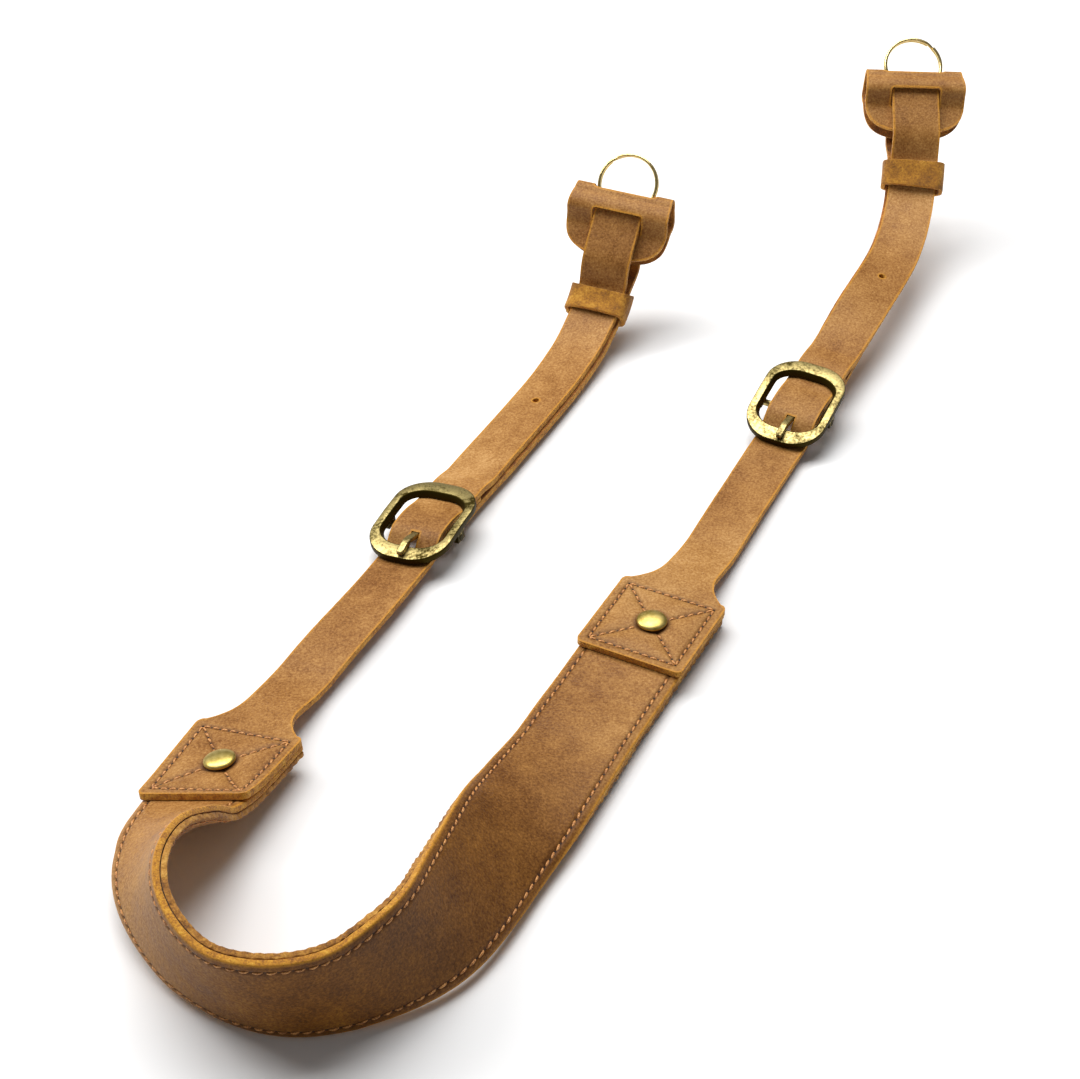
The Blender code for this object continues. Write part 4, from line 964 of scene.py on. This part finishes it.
def strapBlank(name):
    # The flat strap, cut to its outline and punched
    patch, flareEnd = strap["patch"], strap["patch"] + strap["flare"]
    plain = strap["patchCorner"] + 0.5 * mm
    rows = np.concatenate([
        patchCurve, spaced(plain, patch - plain, strap["patchStep"]), patch - patchCurve[::-1],
        spaced(patch + 0.7 * mm, flareEnd, strap["flareStep"]),
        spaced(flareEnd, strapCut.length, strap["rowStep"])[1:],
    ])
    # The seam's lines on the patch need closer columns than the plain strap
    half = np.concatenate([spaced(0.018, 0.738, 0.036), np.linspace(0.765, 0.885, 8),
                           np.linspace(0.92, 1, 3)])
    blank = cutLeather(name, rows, np.concatenate([-half[::-1], half]),
                       strapCut.column("half", rows), strapCut.column("thick", rows))

    # Spare hole, the prong's way out and the slot where the strap folds round the bar
    front = len(strapCut.u) // 2
    holeAt = np.interp(strap["patchToBar"] + strap["holeToBar"], strapCut.point[:front, 0],
                       strapCut.u[:front])
    deselect()
    bpy.ops.mesh.primitive_cylinder_add(vertices=24, radius=strap["holeWidth"] / 2,
                                        depth=4 * strap["thickness"], location=(holeAt, 0, 0))
    punch(blank, takeUp("holeTool"))
    punch(blank, prongTool())
    behind = strapCut.u > strapCut.length * 0.8
    barAt = strapCut.u[np.argmin(np.where(behind, strapCut.point[:, 0], 1.0))]
    length, width = strap["barSlot"]
    punchSlot(blank, barAt - length / 2, barAt + length / 2, width, strap["barSlotCorner"])
    return blank


def makeStrap(side):
    run = strapLines[side]
    sign = {"left": -1, "right": 1}[side]
    blank = strapBlank(side + "StrapLeather")
    soften(blank, strap["bevel"])
    dressLeather(blank, strap["fray"], patchShade, strap["paintedShading"])
    raiseSkin(blank, patchRelief)
    bendLeather(blank, strapCut, run, lambda u: strapCut.column("shift", u) * sign)
    finishPiece(blank, "oiled_leather", side + "_strap")

    h = sewnHalf
    clear = (rivet["cap"] / 2 + 0.4 * mm) / math.sqrt(2)
    square = ((-h, -h), (h, -h), (h, h), (-h, h))
    lines = list(zip(square, square[1:] + square[:1]))
    lines += [((sx * clear, sy * clear), (sx * h, sy * h)) for sx in (-1, 1) for sy in (-1, 1)]
    middle = np.array((patchMiddle, 0))
    rows = [s for a, b in lines
            for s in seamStitches(middle + a, middle + b, sewing["patchPitch"])]
    sew(side + "PatchStitches", rows,
        lambda x, y: strap["thickness"] / 2 + patchRelief(x, y), strapCut, run)


def makeRivet(side):
    # Pressed cap, turned round its axis, with the shank and base behind it
    skin = underStrap + strap["thickness"] + 2 * gap
    base = underStrap - gap - padThickness - gap
    cap, shank, foot = rivet["cap"] / 2, rivet["shank"] / 2, rivet["base"] / 2
    thick = rivet["baseThickness"]
    profile = [(0, base - thick), (foot - 0.3 * mm, base - thick), (foot, base - 0.6 * thick),
               (foot - 0.1 * mm, base), (shank, base), (shank, skin),
               (cap - rivet["curl"], skin - 0.02 * mm), (cap - 0.08 * mm, skin + 0.12 * mm)]
    rim = rivet["rimHeight"]            # share of the cap's height where its dome starts
    profile += [(cap * math.cos(t), skin + rivet["capHeight"] * (rim + (1 - rim) * math.sin(t)))
                for t in np.radians(np.linspace(0, 90, rivet["domeSteps"]))]
    mesh = bpy.data.meshes.new("rivetProfile")
    mesh.from_pydata([(max(r, 0), 0, z) for r, z in profile],
                     [(k, k + 1) for k in range(len(profile) - 1)], [])
    piece = addObject(side + "RivetBrass", mesh)
    pick(piece)
    editAll()
    bpy.ops.mesh.spin(steps=rivet["steps"], angle=2 * math.pi, center=(0, 0, 0), axis=(0, 0, 1))
    bpy.ops.mesh.select_all(action="SELECT")
    bpy.ops.mesh.remove_doubles(threshold=0.001 * mm)
    bpy.ops.mesh.normals_make_consistent(inside=False)
    bpy.ops.object.mode_set(mode="OBJECT")
    mesh.transform(strapLines[side].frame(-patchMiddle))
    mesh.materials.append(rivetBrass)
    finishPiece(piece, "rivet_brass", side + "_rivet")


for side in ("left", "right"):
    makeStrap(side)
    makeRivet(side)
print(f"straps and rivets made, each strap cut {strapCut.length / mm:.0f} mm long")


def spanFrame(run):
    # Where a buckle lies: across the strap, from its near end to its far end
    half, bar = buckle["length"] / 2, strap["patchToBar"]
    rise = [nearEndUnder + buckle["thickness"] / 2, farEndUnder + buckle["thickness"] / 2]
    ends = run.place([bar - half, bar + half], [buckle["shift"]] * 2, rise)
    along = Vector(ends[1] - ends[0]).normalized()
    out = along.cross(run.frame(bar).col[1].to_3d()).normalized()
    turn = Matrix((along, out.cross(along), out)).transposed().to_4x4()
    return Matrix.Translation((ends[0] + ends[1]) / 2) @ turn


def shapeCasting(piece):
    # Window walls that slope in towards the strap, an arched and slightly uneven face
    co = corners(piece)
    onFace = co[:, 2] > buckle["thickness"] * 0.98
    markPoints(piece, "wall", ~onFace)
    middle = np.array((endReach, (buckle["width"] - buckle["sideFace"]) / 2))
    corner = buckle["corner"] - buckle["sideFace"] / 2
    reach = np.maximum(np.abs(co[:, :2]) - (middle - corner), 0)
    fromCorner = np.linalg.norm(reach, axis=1)
    inside = fromCorner < corner - 0.5 * mm
    inward = np.sign(co[:, :2]) * reach / np.maximum(fromCorner, 1e-9)[:, None]
    depth = np.clip(1 - co[:, 2] / buckle["thickness"], 0, 1) * inside
    co[:, :2] -= inward * (depth * buckle["draft"])[:, None]
    wobble = np.array([noise.noise(Vector(p) / buckle["wave"]) for p in co])
    co[:, 2] += (frameArch(co[:, 0]) - buckle["thickness"] / 2
                 + wobble * buckle["unevenness"] * onFace)
    setCorners(piece, co)


def makeBuckle(side):
    # Cast frame: a rounded plate with its window, given its thickness, then softened
    run = strapLines[side]
    deselect()
    bpy.ops.mesh.primitive_plane_add(size=1)
    bpy.context.object.scale = (buckle["length"], buckle["width"], 1)
    piece = takeUp(side + "BuckleCasting")
    editAll()
    bpy.ops.mesh.bevel(offset=buckle["corner"], segments=buckle["cornerSteps"],
                       affect="VERTICES")
    bpy.ops.mesh.select_all(action="SELECT")
    bpy.ops.mesh.inset(thickness=buckle["sideFace"])
    shrink = nearEdge / (buckle["length"] / 2 - buckle["sideFace"])
    bpy.ops.transform.resize(value=(shrink, 1, 1))
    bpy.ops.mesh.delete(type="FACE")
    thicken(buckle["thickness"])
    soften(piece, buckle["bevel"], 3, 50)
    applyModifier(piece, "SUBSURF", levels=1, render_levels=1, subdivision_type="SIMPLE")
    shapeCasting(piece)
    piece.data.transform(spanFrame(run))
    piece.data.materials.append(oldBrass)

    # Its centre bar and the lugs that carry it, seen from below and between the leathers
    barEnd = buckle["width"] / 2 - buckle["barInset"]
    deselect()
    bpy.ops.mesh.primitive_cylinder_add(vertices=20, radius=buckle["bar"] / 2,
                                        depth=2 * barEnd, rotation=(math.pi / 2, 0, 0),
                                        location=(0, 0, barHeight))
    parts = [takeUp("barTool")]
    under = barHeight - 0.42 * buckle["bar"]
    over = buckleHeight + frameArch(0) - 0.2 * buckle["thickness"]
    outer = barEnd - buckle["barInset"] / 2
    inner, reach = outer - buckle["lugWidth"], buckle["lugLength"] / 2
    for low, high in ((inner, outer), (-outer, -inner)):
        parts.append(boxTool((-reach, low, under), (reach, high, over)))
    frameAtBar = run.frame(strap["patchToBar"]) @ Matrix.Translation((0, buckle["shift"], 0))
    for part in parts:
        part.data.transform(frameAtBar)
        punch(piece, part, "UNION")
    finishPiece(piece, "antique_brass", side + "_buckle_frame")


def makeProng(side):
    # Thin and wide where it wraps the bar, thicker and narrower along its shank
    path = prongPath()
    rows = spaced(0, path.length, prong["rowStep"])
    past = np.clip((rows - eyeLength - 1 * mm) / prong["swell"], 0, 1)
    half = (prong["eyeWidth"] + (prong["width"] - prong["eyeWidth"]) * past) / 2
    thick = prong["eye"] + (prong["thickness"] - prong["eye"]) * past
    tip = np.sqrt(np.clip((path.length - rows) / prong["tip"] + prong["blunt"], 0, 1))
    piece = cutLeather(side + "ProngBrass", rows, np.linspace(-1, 1, 5), half * tip,
                       thick * np.sqrt(tip))
    soften(piece, prong["bevel"], 4)
    bendLeather(piece, path, strapLines[side])
    piece.data.materials.append(oldBrass)
    finishPiece(piece, "antique_brass", side + "_buckle_prong", angle=50)


def makeKeeper(side):
    # A tube of leather whose round form is pressed flat about the strap's two layers
    ease, corner, wall = 1.5 * gap, keeper["corner"], 0.2
    halfA = (strap["width"] + 2 * strap["shift"] + 2 * ease) / 2
    halfN = (2 * strap["thickness"] + gap + 2 * ease) / 2
    deselect()
    bpy.ops.mesh.primitive_cylinder_add(vertices=keeper["steps"], radius=1, depth=1,
                                        end_fill_type="NOTHING")
    piece = takeUp(side + "KeeperLoop")
    applyModifier(piece, "SUBSURF", levels=2, render_levels=2, subdivision_type="SIMPLE")
    applyModifier(piece, "SOLIDIFY", thickness=wall, offset=1)
    soften(piece, 0.03)
    co = corners(piece)
    angle = np.arctan2(co[:, 1], co[:, 0])
    depth = (np.hypot(co[:, 0], co[:, 1]) - 1) / wall * keeper["thickness"]
    loop = []
    for turn, sa, sn in ((0, 1, 1), (90, -1, 1), (180, -1, -1), (270, 1, -1)):
        loop += arc((sa * (halfA - corner), sn * (halfN - corner)), corner, turn, turn + 90, 8)
    outline = Path(loop + loop[:1])
    a, n = outline.at((angle / (2 * math.pi) % 1.0) * outline.length, -depth)
    # The stiff leather stands off the strap's middle, more so along its free edges
    stand = keeper["stand"] + keeper["flare"] * (2 * co[:, 2]) ** 2
    n += np.sign(n) * np.clip(1 - (a / halfA) ** 2, 0, 1) * stand
    s = strapRun - keeper["toFold"] + co[:, 2] * keeper["width"]
    setCorners(piece, strapLines[side].place(s, a, n))
    mesh = piece.data
    mesh.materials.append(keeperSuede)
    mesh.materials.append(rawEdge)
    flatEnd = np.abs(co[:, 2]) > 0.485
    onEnd = [all(flatEnd[k] for k in face.vertices) for face in mesh.polygons]
    mesh.polygons.foreach_set("material_index", np.array(onEnd, dtype=np.int32))
    co = corners(piece)
    for k in np.flatnonzero(flatEnd):
        co[k] += np.array(noise.noise_vector(Vector(co[k]) / (1.4 * mm))) * keeper["fray"]
    setCorners(piece, co)
    finishPiece(piece, "rough_leather", side + "_keeper")


ring = {"diameter": 25.5 * mm, "wire": 1.4 * mm, "split": {"left": 42, "right": -40},
        "step": 0.16}                   # half the turn in which one wire crosses over


def makeGuard(side):
    # A tab folded over the ring, whose two flaps end in round lobes
    path = guardPath()
    ends = (1 - np.cos(np.radians(np.linspace(0, 90, 12)))) * guard["endRows"]
    rows = spaced(0, path.length, guard["rowStep"])
    plain = rows[(rows > guard["endRows"] + 0.2 * mm) & (rows < path.length - guard["endRows"])]
    rows = np.concatenate([ends, plain, path.length - ends[:0:-1]])
    # The lobe's curve stops just short of its end, so that the last row keeps some width
    below = strapRun - path.at(rows, 0 * rows)[0]
    lobe = np.clip((below - (guard["flap"] - guard["lobe"])) / guard["lobe"], 0, 0.995)
    rounding = (1 - lobe ** guard["lobePower"]) ** (1 / guard["lobePower"])
    widen = np.clip(below / strap["loopToFold"], 0, 1)
    half = (guard["foldWidth"] + (guard["width"] - guard["foldWidth"]) * widen) / 2 * rounding
    piece = cutLeather(side + "GuardTab", rows, np.linspace(-1, 1, 33), half,
                       guard["thickness"])
    # A slot for the strap in each flap, and the ring's mouth across the fold
    s = path.point[:, 0]
    for flap in (path.u < path.length / 2, path.u >= path.length / 2):
        order = np.argsort(s[flap])
        slot = np.interp([strapRun - guard["bridge"], strapRun - slotEnd],
                         s[flap][order], path.u[flap][order])
        punchSlot(piece, min(slot), max(slot), strap["width"] + 4 * gap, guard["slotCorner"])
    fold = path.u[np.argmax(s)]
    punchSlot(piece, fold - guard["mouth"] / 2, fold + guard["mouth"] / 2,
              ring["diameter"] + 6 * gap, guard["mouthCorner"])
    soften(piece, guard["bevel"])
    dressLeather(piece, guard["fray"], paintedShading=guard["paintedShading"])
    bendLeather(piece, path, strapLines[side])
    finishPiece(piece, "oiled_leather", side + "_ring_guard")


def makeRing(side):
    # Two turns of wire; where one ends, the other steps across to its level
    wire, step = ring["wire"], ring["step"]
    middle = (ring["diameter"] - wire) / 2
    turn = np.linspace(step * 0.75, 4 * math.pi - step * 0.75, 240)
    level = np.interp(turn, (2 * math.pi - step, 2 * math.pi + step), (-0.5, 0.5)) * wire
    turn += math.radians(ring["split"][side])
    curve = bpy.data.curves.new(side + "RingWire", "CURVE")
    curve.dimensions = "3D"
    line = curve.splines.new("POLY")
    line.points.add(len(turn) - 1)
    for point, t, z in zip(line.points, turn, level):
        point.co = (middle * math.cos(t), middle * math.sin(t), z, 1)
    curve.bevel_depth = wire / 2
    curve.bevel_resolution = 5
    curve.use_fill_caps = True
    pick(addObject(side + "SplitRingWire", curve))
    bpy.ops.object.convert(target="MESH")
    piece = bpy.context.object
    # Its lower side rests in the strap's loop
    room = 0.98 * (strap["loopRadius"] - strap["thickness"] / 2) - 1.5 * gap - wire / 2
    sag = middle - math.sqrt(middle ** 2 - (strap["loopWaist"] / 2) ** 2)
    wireQ = strap["loopToFold"] - math.sqrt(room ** 2 - (wire / 2) ** 2) + sag
    piece.data.transform(strapLines[side].frame(strapRun - wireQ + middle))
    piece.data.materials.append(ringPlate)
    finishPiece(piece, "gold_plate", side + "_split_ring")


for side in ("left", "right"):
    makeBuckle(side)
    makeProng(side)
    makeKeeper(side)
    makeGuard(side)
    makeRing(side)
print("buckles, keepers, guards and rings made")

# Studio: white sweep under a broad overhead light, with a smaller one from the left
studio = {
    "floor": 40.0, "sky": 0.16,
    "lights": (                         # name, place, aim, size, power
        ("topLight", (-0.15, 0.55, 1.5), (0, 0.05, 0), (1.5, 1.0), 33.0),
        ("keyLight", (-1.0, 0.35, 1.0), (0, 0, 0), (0.5, 0.5), 9.0),
    ),
}


def makeStudio():
    deselect()
    bpy.ops.mesh.primitive_plane_add(size=studio["floor"], location=(0, 0.6, -0.2 * mm))
    floor = takeUp("studioSweep")
    paper, _ = newMaterial("whitePaperSweep")
    finishMaterial(paper, {"Base Color": hexColour("#F4F4F4"), "Roughness": 0.9})
    floor.data.materials.append(paper)
    for name, place, aim, size, power in studio["lights"]:
        light = bpy.data.lights.new(name, "AREA")
        light.shape = "RECTANGLE"
        light.size, light.size_y = size
        light.energy = power
        lamp = addObject(name, light)
        lamp.location = place
        lamp.rotation_euler = (Vector(aim) - Vector(place)).to_track_quat("-Z", "Y").to_euler()
    world = bpy.data.worlds.new("studioRoom")
    scene = bpy.context.scene
    scene.world = world
    world.use_nodes = True
    background = world.node_tree.nodes["Background"]
    background.inputs["Color"].default_value = (1, 1, 1, 1)
    background.inputs["Strength"].default_value = studio["sky"]
    scene.view_settings.view_transform = "Standard"
    scene.view_settings.exposure = 0.0


# The photograph's view: how far it looks down, from how far off, and at which floor point
view = {"pitch": 38.2, "distance": 867 * mm, "lens": 78, "sensor": 36,
        "aim": (-25.7 * mm, -7.85 * mm), "clip": (0.01, 60)}


def makeCamera():
    pitch = math.radians(view["pitch"])
    camera = bpy.data.cameras.new("photoCamera")
    camera.lens, camera.sensor_width = view["lens"], view["sensor"]
    camera.clip_start, camera.clip_end = view["clip"]
    holder = addObject("photoCamera", camera)
    holder.location = (view["aim"][0], view["aim"][1] - view["distance"] * math.cos(pitch),
                       view["distance"] * math.sin(pitch))
    holder.rotation_euler = (math.pi / 2 - pitch, 0, 0)
    bpy.context.scene.camera = holder


makeStudio()
makeCamera()
print("studio and camera set")
